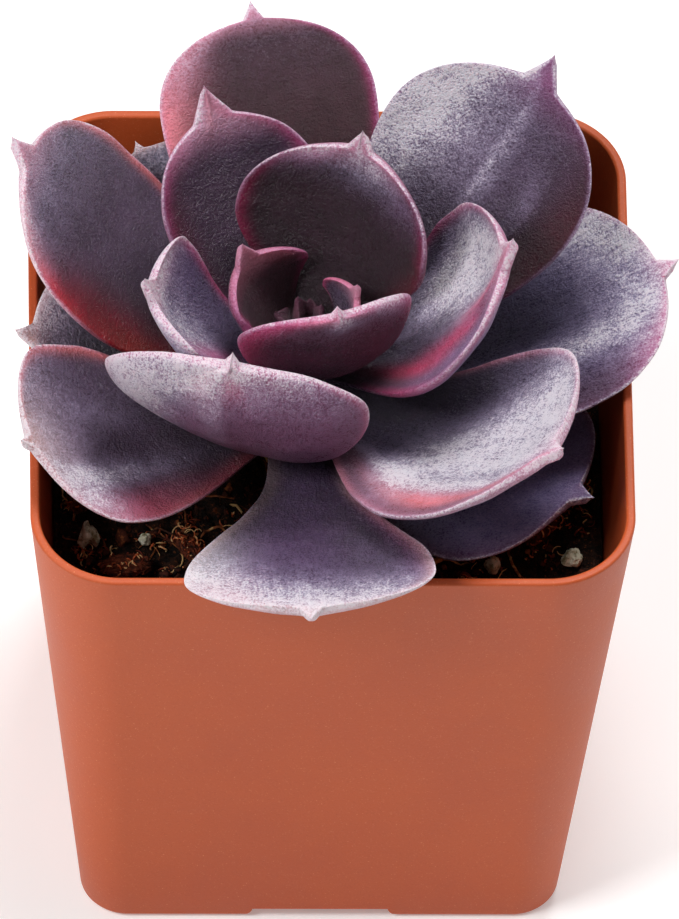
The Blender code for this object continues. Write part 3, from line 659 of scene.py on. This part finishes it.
def leaf_material():
    """A waxy skin under a worn, speckled bloom."""
    material, tree = new_material("leaf_skin")
    skin = stored(tree, "skin", "Color")
    parts = new_node(tree, "ShaderNodeSeparateXYZ", {0: stored(tree, "bloom", "Vector")})
    dust, streakiness = parts.outputs[0], parts.outputs[1]
    where = millimetres(tree)
    clouds = grain(tree, where, 0.35, 3.0, 0.6)
    mottle = grain(tree, where, 1.6, 3.0, 0.65)
    speckle = grain(tree, where, 4.4, 3.0, 0.7)
    along = stretched(tree, stored(tree, "flow", "Vector"), (2.2, 0.4, 1.0))
    streaks = grain(tree, along, 1.0, 4.0, 0.7)

    def total(first, *rest):
        for value in rest:
            first = maths(tree, "ADD", first, value)
        return first

    def centred(value, weight):
        return maths(tree, "MULTIPLY", maths(tree, "SUBTRACT", value, 0.5), weight)

    def rubbed(weight):
        return maths(tree, "MULTIPLY", centred(streaks, weight), streakiness)

    spots = total(1.0, centred(speckle, 3.0), centred(mottle, 1.2), centred(clouds, 1.0), rubbed(1.8))
    worn = maths(tree, "POWER", maths(tree, "MULTIPLY", spots, dust), 1.45, clamp=True)
    shade = remap(tree, total(clouds, speckle), 0.7, 1.3, 0.8, 1.2)
    shade = new_node(tree, "ShaderNodeCombineColor", {0: shade, 1: shade, 2: shade}).outputs[0]
    deep = mixed(tree, 1.0, skin, shade, "MULTIPLY")
    powder = mixed(tree, worn, tone(208, 184, 240), tone(250, 242, 252))
    pale = mixed(tree, 0.16, powder, skin)
    height = total(centred(speckle, 1.2), centred(mottle, 1.2), rubbed(2.0))
    set_shader(
        tree,
        Base_Color=mixed(tree, maths(tree, "MULTIPLY", worn, 0.92), deep, pale),
        Roughness=remap(tree, worn, 0.0, 0.8, 0.27, 0.52),
        Normal=bumped(tree, height, 0.0003, 0.85),
        Subsurface_Weight=0.12,
        Subsurface_Radius=(1.0, 0.35, 0.3),
        Subsurface_Scale=0.0012,
        Sheen_Weight=0.06,
        Sheen_Roughness=0.4,
        Specular_IOR_Level=0.5,
    )
    return material


def pot_material():
    """Moulded terracotta-coloured plastic with a faint grain."""
    material, tree = new_material("terracotta_plastic")
    where = millimetres(tree)
    clouds = grain(tree, where, 0.06, 4.0, 0.55)
    peel = grain(tree, where, 2.2, 3.0, 0.6)
    specks = grain(tree, where, 5.0, 2.0, 0.7)
    colour = mixed(tree, remap(tree, clouds, 0.3, 0.7), tone(188, 83, 41), tone(194, 90, 48))
    colour = mixed(tree, remap(tree, specks, 0.56, 0.75, 0.0, 0.4), colour, tone(160, 62, 28))
    colour = mixed(tree, remap(tree, specks, 0.36, 0.26, 0.0, 0.5), colour, tone(238, 170, 126))
    set_shader(
        tree,
        Base_Color=colour,
        Roughness=remap(tree, clouds, 0.3, 0.7, 0.45, 0.55),
        Normal=bumped(tree, peel, 0.00006, 0.5),
        Subsurface_Weight=0.1,
        Subsurface_Radius=(1.0, 0.3, 0.15),
        Subsurface_Scale=0.001,
        Specular_IOR_Level=0.3,
    )
    return material


def soil_material():
    """Dark crumbly peat with brown and reddish bits."""
    material, tree = new_material("growing_mix")
    where = millimetres(tree)
    crumbs = grain(tree, where, 1.1, 4.0, 0.7)
    bits = grain(tree, where, 2.6, 3.0, 0.7)
    colour = mixed(tree, remap(tree, crumbs, 0.45, 0.62), tone(16, 11, 9), tone(52, 30, 20))
    colour = mixed(tree, remap(tree, bits, 0.58, 0.68), colour, tone(112, 62, 34))
    set_shader(
        tree,
        Base_Color=colour,
        Roughness=0.95,
        Normal=bumped(tree, bits, 0.0004, 0.9),
        Specular_IOR_Level=0.25,
    )
    return material


class Stuff(NamedTuple):
    """Three tones, as screen values from 0 to 255, and the grain that mixes them."""

    dark: tuple
    middle: tuple
    light: tuple
    scale: float  # of the grain, per mm
    roughness: float
    relief: float
    tint_share: float = 0.0  # how far a crumb's or fibre's own tint shifts its tone


STUFFS = {
    "crumbs": Stuff((22, 12, 9), (78, 34, 20), (150, 84, 44), 1.4, 0.85, 0.0003, 0.4),
    "coir": Stuff((60, 28, 14), (150, 84, 44), (226, 184, 122), 0.8, 0.6, 0.0001, 0.55),
    "coir_curls": Stuff((112, 40, 20), (206, 100, 54), (250, 206, 144), 0.9, 0.5, 0.0001, 0.6),
    "bark": Stuff((36, 15, 9), (100, 42, 20), (170, 96, 54), 1.8, 0.8, 0.0005),
    "perlite": Stuff((140, 136, 100), (226, 226, 200), (246, 246, 234), 1.3, 0.85, 0.0004),
    "straw": Stuff((150, 110, 60), (206, 168, 112), (232, 206, 160), 1.4, 0.7, 0.0001),
    "stem_skin": Stuff((60, 48, 34), (112, 96, 66), (140, 128, 92), 1.1, 0.8, 0.0002),
}


def grained_material(name):
    """The stuff of this name, in irregular grain."""
    material, tree = new_material(name)
    stuff = STUFFS[name]
    spots = grain(tree, millimetres(tree), stuff.scale, 4.0, 0.65)
    tint = maths(tree, "SUBTRACT", stored(tree, "tint", "Fac"), 0.5)
    level = maths(tree, "ADD", spots, maths(tree, "MULTIPLY", tint, stuff.tint_share))
    colour = mixed(tree, remap(tree, level, 0.36, 0.56), tone(*stuff.dark), tone(*stuff.middle))
    colour = mixed(tree, remap(tree, level, 0.58, 0.72), colour, tone(*stuff.light))
    set_shader(
        tree,
        Base_Color=colour,
        Roughness=stuff.roughness,
        Normal=bumped(tree, spots, stuff.relief, 0.8),
        Specular_IOR_Level=0.3,
    )
    return material


# The leaves.


def leaf_colours(leaf, paint, share, side, face):
    """(colour, dust) over a leaf's skin, from zones along its margins, tip and base, and patches. The
    base zone and some dark patches are painted shade.
    """
    upper, under, margin, tip = (np.array(tone(*screen)) for screen in paint[:4])
    to_margin = half_width(leaf, share) / MM * (1 - np.abs(side))
    above = facing(face, 1)
    colour = under + above[..., None] * (upper - under)
    dust = paint.dust_below + above * (paint.dust_above - paint.dust_below)
    # Painted shade: the leaf darkens towards its base, where the leaves above shade it.
    base_shade = 1 - paint.base_shade * ramp(share, *BASE_SHADE_ZONE)
    colour = colour * base_shade[..., None]
    dust = dust * base_shade + paint.dust_tip * ramp(share, *TIP_DUST_ZONE)
    rim = np.exp(-((to_margin / paint.band) ** 2)) * RIM_SHARE * ramp(share, *RIM_ZONE)
    colour = colour + rim[..., None] * (margin - colour)
    for patch in paint.patches:
        off_along = (share - patch.along) / patch.reach
        off_side = (side - patch.side) / patch.spread
        blot = patch.strength * np.exp(-(off_along**2) - off_side**2) * facing(face, patch.face)
        if patch.colour is None:
            dust = dust + blot
        else:
            colour = colour + blot[..., None] * (np.array(tone(*patch.colour)) - colour)
    end = ramp(leaf.length * (1 - share) / leaf.point, *TIP_ZONE) * RIM_SHARE
    colour = colour + end[..., None] * (tip - colour)
    edge_dust = EDGE_DUST * min(1, leaf.length / FULL_LEAF) ** 2
    dust = dust + edge_dust * np.exp(-((to_margin / EDGE_BAND) ** 2)) * ramp(share, *EDGE_ZONE)
    colour = colour**SKIN_DEPTH
    grey = colour.mean(-1, keepdims=True)
    return np.clip(grey + SKIN_VIVID * (colour - grey), 0, 1), np.clip(dust, 0, 1)


def painted_leaf(name, leaf, paint, seat, around, rows):
    """A leaf's mesh, which keeps its colours, bloom and flow for its material."""
    points, share, side, face = leaf_grid(leaf, seat, around, rows, paint.folds)
    mesh = grid_mesh(name, points)
    colour, dust = leaf_colours(leaf, paint, share, side, face)
    keep_values(mesh, "skin", grid_rows(colour))
    bloom = np.stack((dust, 0 * dust + paint.streaks, 0 * dust), -1)
    keep_values(mesh, "bloom", grid_rows(bloom))
    across = side * half_width(leaf, share) / MM
    flow = np.stack((across, share * leaf.length, face + leaf.toward), -1)
    keep_values(mesh, "flow", grid_rows(flow))
    return mesh


def dress_leaves(slots):
    material = leaf_material()
    for number, (leaf, paint) in enumerate(zip(LEAVES, PAINTS), 1):
        node = f"leaf_{number:02d}"
        paint = paint._replace(
            patches=[patch for patch in PATCHES if patch.leaf == number],
            folds=[fold for fold in FOLDS if fold.leaf == number],
        )
        mesh = painted_leaf(f"fine_{node}", leaf, paint, LEAF_SEAT, LEAF_AROUND, LEAF_ROWS)
        add_piece(f"fine_{node}", mesh, material, slots[node], node)
    for number, leaf in enumerate(CROWN_LEAVES, 1):
        name = f"crown_leaf_{number}"
        mesh = painted_leaf(name, leaf, CROWN_PAINT, CROWN_SEAT, CROWN_AROUND, CROWN_ROWS)
        add_piece(name, mesh, material, slots["crown_bud"], "crown_bud")


# The pot and the mix.


class Ring(NamedTuple):
    """A square outline with round corners, at a height."""

    half: float
    corner: float
    z: float

    def shrunk(self, share):
        return Ring(self.half * share, self.corner * share, self.z)


def outline(half, corner, around):
    """The points of a square with round corners, as (around, 2)."""
    turn = np.arange(around) * 4 / around
    side, share = np.floor(turn), turn % 1
    flat = half - corner
    angle = np.pi / 2 * np.clip((share - SIDE_SHARE) / (1 - 2 * SIDE_SHARE), 0, 1)
    x = np.where(share > 1 - SIDE_SHARE, flat * (1 - share) / SIDE_SHARE, flat + corner * np.cos(angle))
    y = np.where(share < SIDE_SHARE, flat * share / SIDE_SHARE, flat + corner * np.sin(angle))
    x, y = np.where(share < SIDE_SHARE, half, x), np.where(share > 1 - SIDE_SHARE, half, y)
    cos, sin = np.cos(side * np.pi / 2), np.sin(side * np.pi / 2)
    return np.stack((cos * x - sin * y, sin * x + cos * y), -1)


def wall_ring(z, depth=0.0):
    """The pot's outline at this height, this far in from its outer face."""
    share = z / POT_HEIGHT
    half = FOOT_HALF + (RIM_HALF - FOOT_HALF) * share
    corner = FOOT_CORNER + (RIM_CORNER - FOOT_CORNER) * share
    return Ring(half - depth, corner - depth, z)


def ring_points(rings, around):
    """A grid of points through the rings."""
    grid = np.empty((len(rings), around, 3))
    for row, ring in enumerate(rings):
        grid[row, :, :2] = outline(ring.half, ring.corner, around)
        grid[row, :, 2] = ring.z
    return grid


def quarter(steps):
    """(cosine, sine) at even steps through a quarter turn."""
    turn = np.linspace(0, math.pi / 2, steps + 1)
    return list(zip(np.cos(turn), np.sin(turn)))


def pot_rings():
    """From the middle of the underside, out and up, over the round rim, down and in."""
    rings = [wall_ring(0, FOOT_ROUND).shrunk(share) for share in (0, 0.4, 0.7, 0.9, 1)]
    foot = quarter(FOOT_STEPS)[1:]
    rings += [wall_ring(FOOT_ROUND * (1 - cos), FOOT_ROUND * (1 - sin)) for cos, sin in foot]
    flank = np.linspace(0, 1, FLANK_RINGS + 2)[1:-1] * POT_HEIGHT
    rings += [wall_ring(z) for z in flank]
    lip, middle = quarter(LIP_STEPS), POT_HEIGHT - LIP
    rings += [wall_ring(middle + LIP * sin, LIP * (1 - cos)) for cos, sin in lip]
    rings += [wall_ring(middle + LIP * cos, WALL - LIP + LIP * sin) for cos, sin in lip]
    rings += [wall_ring(z, WALL) for z in flank[::-1]]
    rings.append(wall_ring(WALL + FLOOR_ROUND, WALL))
    floor = wall_ring(WALL, WALL + FLOOR_ROUND)
    rings += [floor.shrunk(share) for share in (1, 0.6, 0.3, 0)]
    return rings


def box_between(low, high):
    bm = bmesh.new()
    bmesh.ops.create_cube(bm, size=1.0)
    low, high = Vector(low), Vector(high)
    for vert in bm.verts:
        vert.co = low + (vert.co + Vector((0.5, 0.5, 0.5))) * (high - low)
    return bm


def add_helper(bm, collection):
    mesh = bpy.data.meshes.new("helper")
    bm.to_mesh(mesh)
    bm.free()
    collection.objects.link(bpy.data.objects.new("helper", mesh))


def on_all_sides(collection):
    """Copies what stands at the front of the pot to its three other sides."""
    for obj in list(collection.objects):
        for side in (1, 2, 3):
            copy = obj.copy()
            copy.matrix_world = Matrix.Rotation(side * math.pi / 2, 4, "Z") @ obj.matrix_world
            collection.objects.link(copy)


def combine(obj, collection, operation):
    """Joins or cuts every object of the collection, applies it and removes them."""
    bpy.context.scene.collection.children.link(collection)
    boolean = obj.modifiers.new(operation.lower(), "BOOLEAN")
    boolean.operation, boolean.operand_type = operation, "COLLECTION"
    boolean.collection = collection
    mesh = bpy.data.meshes.new_from_object(obj.evaluated_get(bpy.context.evaluated_depsgraph_get()))
    obj.modifiers.clear()
    obj.data = mesh
    for spent in list(collection.objects):
        bpy.data.objects.remove(spent)
    bpy.data.collections.remove(collection)


def notch_roofs():
    roofs = bpy.data.collections.new("notch roofs")
    half = NOTCH_WIDTH / 2 + WALL
    low = (-half, -FOOT_HALF + 0.4 * WALL, 0.5 * WALL)
    high = (half, -FOOT_HALF + NOTCH_DEPTH + WALL, NOTCH_HEIGHT + WALL)
    add_helper(box_between(low, high), roofs)
    on_all_sides(roofs)
    return roofs


def notch_cutters():
    """The flared notches, and the round drain hole over each."""
    cutters = bpy.data.collections.new("notch cutters")
    low = (-NOTCH_WIDTH / 2, -FOOT_HALF - WALL, 0)
    high = (NOTCH_WIDTH / 2, -FOOT_HALF + NOTCH_DEPTH, NOTCH_HEIGHT)
    bm = box_between(low, high)
    upright = [edge for edge in bm.edges if edge.verts[0].co.z != edge.verts[1].co.z]
    bmesh.ops.subdivide_edges(bm, edges=upright, cuts=NOTCH_LEVELS, use_grid_fill=True)
    for vert in bm.verts:
        flare = NOTCH_FLARE * (1 - vert.co.z / NOTCH_HEIGHT) ** 2
        vert.co.x += math.copysign(flare, vert.co.x)
        if vert.co.z == 0:
            vert.co.z = -WALL
    add_helper(bm, cutters)
    bm = bmesh.new()
    top = NOTCH_HEIGHT + 2 * WALL
    bmesh.ops.create_cone(
        bm, cap_ends=True, segments=DRAIN_SIDES, radius1=DRAIN_RADIUS, radius2=DRAIN_RADIUS, depth=top
    )
    bmesh.ops.translate(bm, vec=(0, -FOOT_HALF + DRAIN_INSET, top / 2), verts=bm.verts)
    add_helper(bm, cutters)
    on_all_sides(cutters)
    return cutters


def dress_pot(slots):
    pot = stand_in("pot", ring_points(pot_rings(), POT_AROUND), pot_material(), slots)
    combine(pot, notch_roofs(), "UNION")
    combine(pot, notch_cutters(), "DIFFERENCE")
    pot.data.set_sharp_from_angle(angle=SHARP_ANGLE)


def soil_height(x, y):
    """The mix's top surface: the CAD model's lumps, and crumbs over them."""
    place = Vector((x, y, 0))
    lumps = SOIL_LUMP * noise.noise(place / SOIL_GRAIN)
    crumbs = CRUMB_LUMP * (noise.turbulence(place / CRUMB_GRAIN, 4, False) - 0.45)
    return SOIL_TOP + lumps + crumbs


def dress_soil(slots):
    gap = WALL + SOIL_GAP
    depth = SOIL_TOP - SOIL_BOTTOM
    foot, top = wall_ring(SOIL_BOTTOM, gap), wall_ring(SOIL_TOP, gap)
    rings = [foot.shrunk(share) for share in (0, 0.5, 1)]
    rings += [wall_ring(SOIL_BOTTOM + share * depth, gap) for share in (0.3, 0.6, 0.9)]
    flank = len(rings)
    rings += [top.shrunk(share) for share in np.linspace(1, 0, SOIL_RINGS + 1)]
    points = ring_points(rings, SOIL_AROUND)
    for row in points[flank:]:
        for point in row:
            point[2] = soil_height(point[0], point[1])
    stand_in("soil", points, soil_material(), slots)


def on_the_mix(rng, count, inset):
    """Random places inside the mix's outline, this far in from its edge."""
    ring = wall_ring(SOIL_TOP, WALL + SOIL_GAP + inset)
    places = []
    while len(places) < count:
        x, y = rng.uniform(-ring.half, ring.half, 2)
        out = np.maximum(np.abs((x, y)) - (ring.half - ring.corner), 0)
        if np.hypot(*out) < ring.corner:
            places.append((x, y))
    return places


def joined_mesh(name, parts):
    """One mesh from parts, each (points, faces, tint)."""
    mesh = bpy.data.meshes.new(name)
    points, faces, tints, start = [], [], [], 0
    for part_points, part_faces, tint in parts:
        points.append(part_points)
        faces.extend(tuple(start + index for index in face) for face in part_faces)
        tints.append(np.full(len(part_points), tint))
        start += len(part_points)
    mesh.from_pydata(np.concatenate(points).tolist(), [], faces)
    mesh.shade_smooth()
    keep_values(mesh, "tint", np.concatenate(tints))
    return mesh


def ball():
    """(points, faces) of a round, even ball of radius 1."""
    bm = bmesh.new()
    bmesh.ops.create_icosphere(bm, subdivisions=2, radius=1.0)
    points = np.array([vert.co for vert in bm.verts])
    faces = [tuple(vert.index for vert in face.verts) for face in bm.faces]
    bm.free()
    return points, faces


def turned(points, angles):
    """The points turned by these angles about x, y and z."""
    for axis, angle in zip("XYZ", angles):
        points = points @ np.array(Matrix.Rotation(angle, 3, axis)).T
    return points


def crumbs(seed, count, low, high):
    """Irregular grains of peat and bark, half sunk in the mix."""
    rng = np.random.default_rng(seed)
    round_points, faces = ball()
    parts = []
    for x, y in on_the_mix(rng, count, 0.6 * high):
        size = rng.uniform(low, high) * rng.uniform(0.45, 1.0, 3) / 2
        offset = Vector(rng.uniform(0, 50, 3))
        swell = [1 + 0.9 * noise.noise(1.9 * Vector(point) + offset) for point in round_points]
        points = round_points * np.array(swell)[:, None] * size
        points = turned(points, rng.uniform(0, math.tau, 3))
        middle = (x, y, soil_height(x, y) + 0.25 * size.max())
        parts.append((points + middle, faces, rng.random()))
    return parts


def fibre(path, radius, sides=6):
    """(points, faces) of a closed fibre along the path, thinner towards its ends."""
    path = np.array(path)
    along = np.gradient(path, axis=0)
    along /= np.linalg.norm(along, axis=1)[:, None]
    across = np.cross(along, (0.0, 0.0, 1.0))
    across /= np.maximum(np.linalg.norm(across, axis=1), 1e-6)[:, None]
    upward = np.cross(across, along)
    turn = np.linspace(0, math.tau, sides, endpoint=False)
    share = np.linspace(0, 1, len(path))
    girth = radius * np.sqrt(np.clip(1 - (2 * share - 1) ** 8, 0, 1))
    ring = np.cos(turn)[None, :, None] * across[:, None] + np.sin(turn)[None, :, None] * upward[:, None]
    grid = path[:, None] + girth[:, None, None] * ring
    return grid_rows(grid), grid_faces(sides, len(path) - 1)


def coir(seed, count):
    """Fibres that wander over the mix and lift off it here and there."""
    rng = np.random.default_rng(seed)
    ring = wall_ring(SOIL_TOP, FIBRE_INSET)
    parts = []
    for x, y in on_the_mix(rng, count, 1.0 * MM):
        steps = rng.integers(8, 16)
        heading, bend = rng.uniform(0, math.tau), rng.normal(0, 0.16)
        step, lift = rng.uniform(0.35, 0.75) * MM, rng.uniform(0.0, 0.9) * MM
        radius = rng.uniform(0.05, 0.16) * MM
        path = []
        for number in range(steps):
            arch = lift * math.sin(math.pi * number / (steps - 1))
            path.append((x, y, soil_height(x, y) + 0.6 * radius + arch))
            heading += bend + rng.normal(0, 0.14)
            x = float(np.clip(x + step * math.cos(heading), -ring.half, ring.half))
            y = float(np.clip(y + step * math.sin(heading), -ring.half, ring.half))
        parts.append((*fibre(path, radius), rng.random()))
    return parts


def curl(rng, spot):
    """One short curled fibre around this spot, tilted at random."""
    reach = rng.uniform(0.2, 0.65) * MM
    arc = rng.uniform(1.2, 3.6)
    turn = rng.uniform(0, math.tau) + np.linspace(0, arc, CURL_STEPS)
    path = reach * np.stack((np.cos(turn), np.sin(turn), 0.3 * (turn - turn.mean())), -1)
    path = turned(path, (rng.uniform(-1.2, 1.2), rng.uniform(-1.2, 1.2), 0)) + spot
    return *fibre(path, rng.uniform(0.05, 0.11) * MM, 4), rng.random()


def curls(seed, tufts, count):
    """Loose tufts of curled fibres, each standing a little out of the mix."""
    rng = np.random.default_rng(seed)
    ring = wall_ring(SOIL_TOP, CURL_INSET)
    parts = []
    for tuft in on_the_mix(rng, tufts, 1.2 * MM):
        for x, y in np.clip(rng.normal(tuft, 1.0 * MM, (count, 2)), -ring.half, ring.half):
            parts.append(curl(rng, (x, y, soil_height(x, y) + rng.uniform(0.1, 0.5) * MM)))
    return parts


def husks(grids, seed, count):
    """Curled fibres that stick out of the upper side of every bark chip."""
    rng = np.random.default_rng(seed)
    parts = []
    for grid in grids:
        upper = grid[len(grid) // 2:].reshape(-1, 3)
        parts += [curl(rng, spot) for spot in rng.choice(upper, count)]
    return parts


def dress_mix(slots, chips):
    """The loose crumbs and fibres on the mix and on the bark chips."""
    grains = [grain for batch in CRUMBS for grain in crumbs(*batch)]
    loose = (
        ("mix_crumbs", grains, "crumbs"),
        ("mix_fibres", coir(*COIR), "coir"),
        ("mix_curls", curls(*TUFTS) + husks(chips, *HUSKS), "coir_curls"),
    )
    for name, parts, stuff in loose:
        add_piece(name, joined_mesh(name, parts), grained_material(stuff), slots["soil"])


def chip_grid(low, high, turn, around, rows, shape):
    """A chip's skin in the box of its CAD solid. shape(point) bends the plain round point."""
    grid = np.empty((rows + 1, around, 3))
    for row in range(rows + 1):
        rise = math.pi * row / rows
        for step in range(around):
            angle = math.tau * step / around
            reach = math.sin(rise)
            point = Vector((reach * math.cos(angle), reach * math.sin(angle), -math.cos(rise)))
            grid[row, step] = shape(point)
    grid = turned(grid, (0, 0, turn))
    least, most = grid.min((0, 1)), grid.max((0, 1))
    return np.array(low) + (grid - least) / (most - least) * (np.array(high) - np.array(low))


def rough_bark(seed):
    """A splintered flake: long grooves, blunt sides and ragged ends."""

    def shape(point):
        blunt = Vector([math.copysign(abs(value) ** 0.7, value) for value in point])
        along = Vector((1.6 * blunt.x, 6.0 * blunt.y, 6.0 * blunt.z + seed))
        grooves = 0.3 * noise.noise(along) - 0.34 * abs(noise.noise(2.0 * along))
        ragged = 0.5 * noise.noise(Vector((3 * seed, 6 * blunt.y, 6 * blunt.z))) * abs(blunt.x)
        flat = max(blunt.z, -0.7)
        return Vector((2.0 * blunt.x * (1 + ragged), blunt.y * (1 + grooves), flat * (1 + grooves)))

    return shape


def pitted_grain(seed, arch):
    """A porous grain. An arched one has a hollow under its front."""

    def shape(point):
        pits = 0.1 * noise.noise(3.5 * point + Vector((seed, 0, 0)))
        pits += 0.07 * noise.noise(9.0 * point + Vector((seed, 0, 0)))
        swell = 1 + 0.35 * noise.noise(1.3 * point + Vector((0, seed, 0))) + pits
        bent = point * swell
        if arch:
            away = 0.8 * bent.y + 0.6 * bent.z
            bent.x *= 1 - 0.5 * ramp(away, -0.4, 1.0)
            hollow = math.exp(-((bent.x / 0.45) ** 2) - ((bent.z + 0.35) / 0.5) ** 2)
            bent.y += 1.2 * hollow * ramp(-bent.y, -0.2, 0.6)
        bent.z = max(bent.z, -0.75)
        return bent

    return shape


CHIP_TURNS = {"perlite": (10, 40, 70, 25), "bark": (75, 5, 120, 150, 20, 50, 100)}  # degrees
PERLITE_GRID, BARK_GRID = (72, 54), (96, 48)  # points around, and rows


def dress_chips(slots):
    """The chips and straws. Returns the bark chips' points."""
    chips = []
    for kind, turns in CHIP_TURNS.items():
        material = grained_material(kind)
        for number, turn in enumerate(turns, 1):
            node = f"{kind}_{number}"
            low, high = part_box(node)
            if kind == "bark":
                grid = chip_grid(low, high, math.radians(turn), *BARK_GRID, rough_bark(3.7 * number))
                chips.append(grid)
            else:
                shape = pitted_grain(5.3 * number, number == 1)
                grid = chip_grid(low, high, math.radians(turn), *PERLITE_GRID, shape)
            stand_in(node, grid, material, slots)
    for node in ("straw_1", "straw_2"):
        materials = frame["nodes"][node].data.materials
        materials.clear()
        materials.append(grained_material("straw"))
    return chips


def dress_stem(slots):
    """The corky stem with its crescent scars."""
    grid = np.empty((STEM_ROWS + 1, STEM_AROUND, 3))
    for row, z in enumerate(np.linspace(STEM_FOOT, STEM_TOP, STEM_ROWS + 1)):
        from_foot, from_top = (z - STEM_FOOT) / STEM_RADIUS, (STEM_TOP - z) / STEM_ROUND
        ends = min(math.sqrt(max(0, 1 - max(0, 1 - reach) ** 2)) for reach in (from_foot, from_top))
        slim = float(ramp(z, STEM_SHOULDER - STEM_RADIUS, STEM_SHOULDER))
        body = STEM_RADIUS + slim * (STEM_NECK - STEM_RADIUS)
        for step in range(STEM_AROUND):
            turn = step / STEM_AROUND
            cos, sin = math.cos(math.tau * turn), math.sin(math.tau * turn)
            spiral = (z / SCAR_STEP - SCAR_TURNS * turn) % 1
            scar = -SCAR_DEPTH * math.exp(-(((spiral - 0.5) / SCAR_WIDTH) ** 2))
            cork = CORK * noise.noise(CORK_SCALE * Vector((cos, sin, z / CORK_GRAIN)))
            radius = ends * (body + min(0, scar + cork))
            grid[row, step] = (STEM_X + radius * cos, STEM_Y + radius * sin, z)
    stand_in("stem", grid, grained_material("stem_skin"), slots)


# The studio.


def direction(azimuth, elevation):
    """From the plant towards a place at these angles; azimuth 0 is the front."""
    turn, rise = math.radians(azimuth), math.radians(elevation)
    return Vector(
        (math.sin(turn) * math.cos(rise), -math.cos(turn) * math.cos(rise), math.sin(rise))
    )


def make_camera():
    data = bpy.data.cameras.new("camera")
    camera = shown("camera", data)
    data.sensor_width = SENSOR
    data.lens = CAMERA_FOCUS / max(PHOTO_WIDTH, PHOTO_HEIGHT) * SENSOR
    data.clip_start, data.clip_end = 0.1, 20.0
    looks = -direction(-CAMERA_AZIMUTH, CAMERA_ELEVATION)
    turn = math.radians(CAMERA_AZIMUTH)
    right = Vector((math.cos(turn), -math.sin(turn), 0))
    up = right.cross(looks)
    roll = math.radians(CAMERA_ROLL)
    cos, sin = math.cos(roll), math.sin(roll)
    right, up = cos * right + sin * up, cos * up - sin * right
    camera.matrix_world = Matrix.Translation(CAMERA_TARGET - CAMERA_DISTANCE * looks) @ Matrix(
        (right, up, -looks)
    ).transposed().to_4x4()
    bpy.context.scene.camera = camera


def make_lights():
    for light in LIGHTS:
        data = bpy.data.lights.new(light.name, "AREA")
        data.size = light.size
        data.energy = light.power
        obj = shown(light.name, data)
        away = direction(light.azimuth, light.elevation)
        obj.location = AIM + light.distance * away
        obj.rotation_mode = "QUATERNION"
        obj.rotation_quaternion = away.to_track_quat("Z", "Y")
    world = bpy.data.worlds.new("studio")
    world.use_nodes = True
    sky = world.node_tree.nodes["Background"]
    sky.inputs["Color"].default_value = (1, 1, 1, 1)
    sky.inputs["Strength"].default_value = SKY_STRENGTH
    bpy.context.scene.world = world


def make_floor():
    material, tree = new_material("floor")
    set_shader(
        tree,
        Base_Color=(0.93, 0.93, 0.93),
        Roughness=0.8,
        Emission_Color=(1, 1, 1),
        Emission_Strength=FLOOR_GLOW,
    )
    mesh = bpy.data.meshes.new("floor")
    signs = ((-1, -1), (1, -1), (1, 1), (-1, 1))
    corners = [(FLOOR_HALF * x, FLOOR_HALF * y, 0) for x, y in signs]
    mesh.from_pydata(corners, [], [(0, 1, 2, 3)])
    mesh.materials.append(material)
    shown("floor", mesh)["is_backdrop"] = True


def main():
    slots = {part["node"]: part["material_slot"] for part in frame["record"]["subparts"]}
    make_camera()
    make_lights()
    make_floor()
    bpy.context.scene.view_settings.view_transform = "Standard"
    dress_pot(slots)
    dress_soil(slots)
    dress_mix(slots, dress_chips(slots))
    dress_stem(slots)
    dress_leaves(slots)
    boxes = {"cad": cad_box, "visual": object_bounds()}
    plain = {name: [list(corner) for corner in corners] for name, corners in boxes.items()}


main()
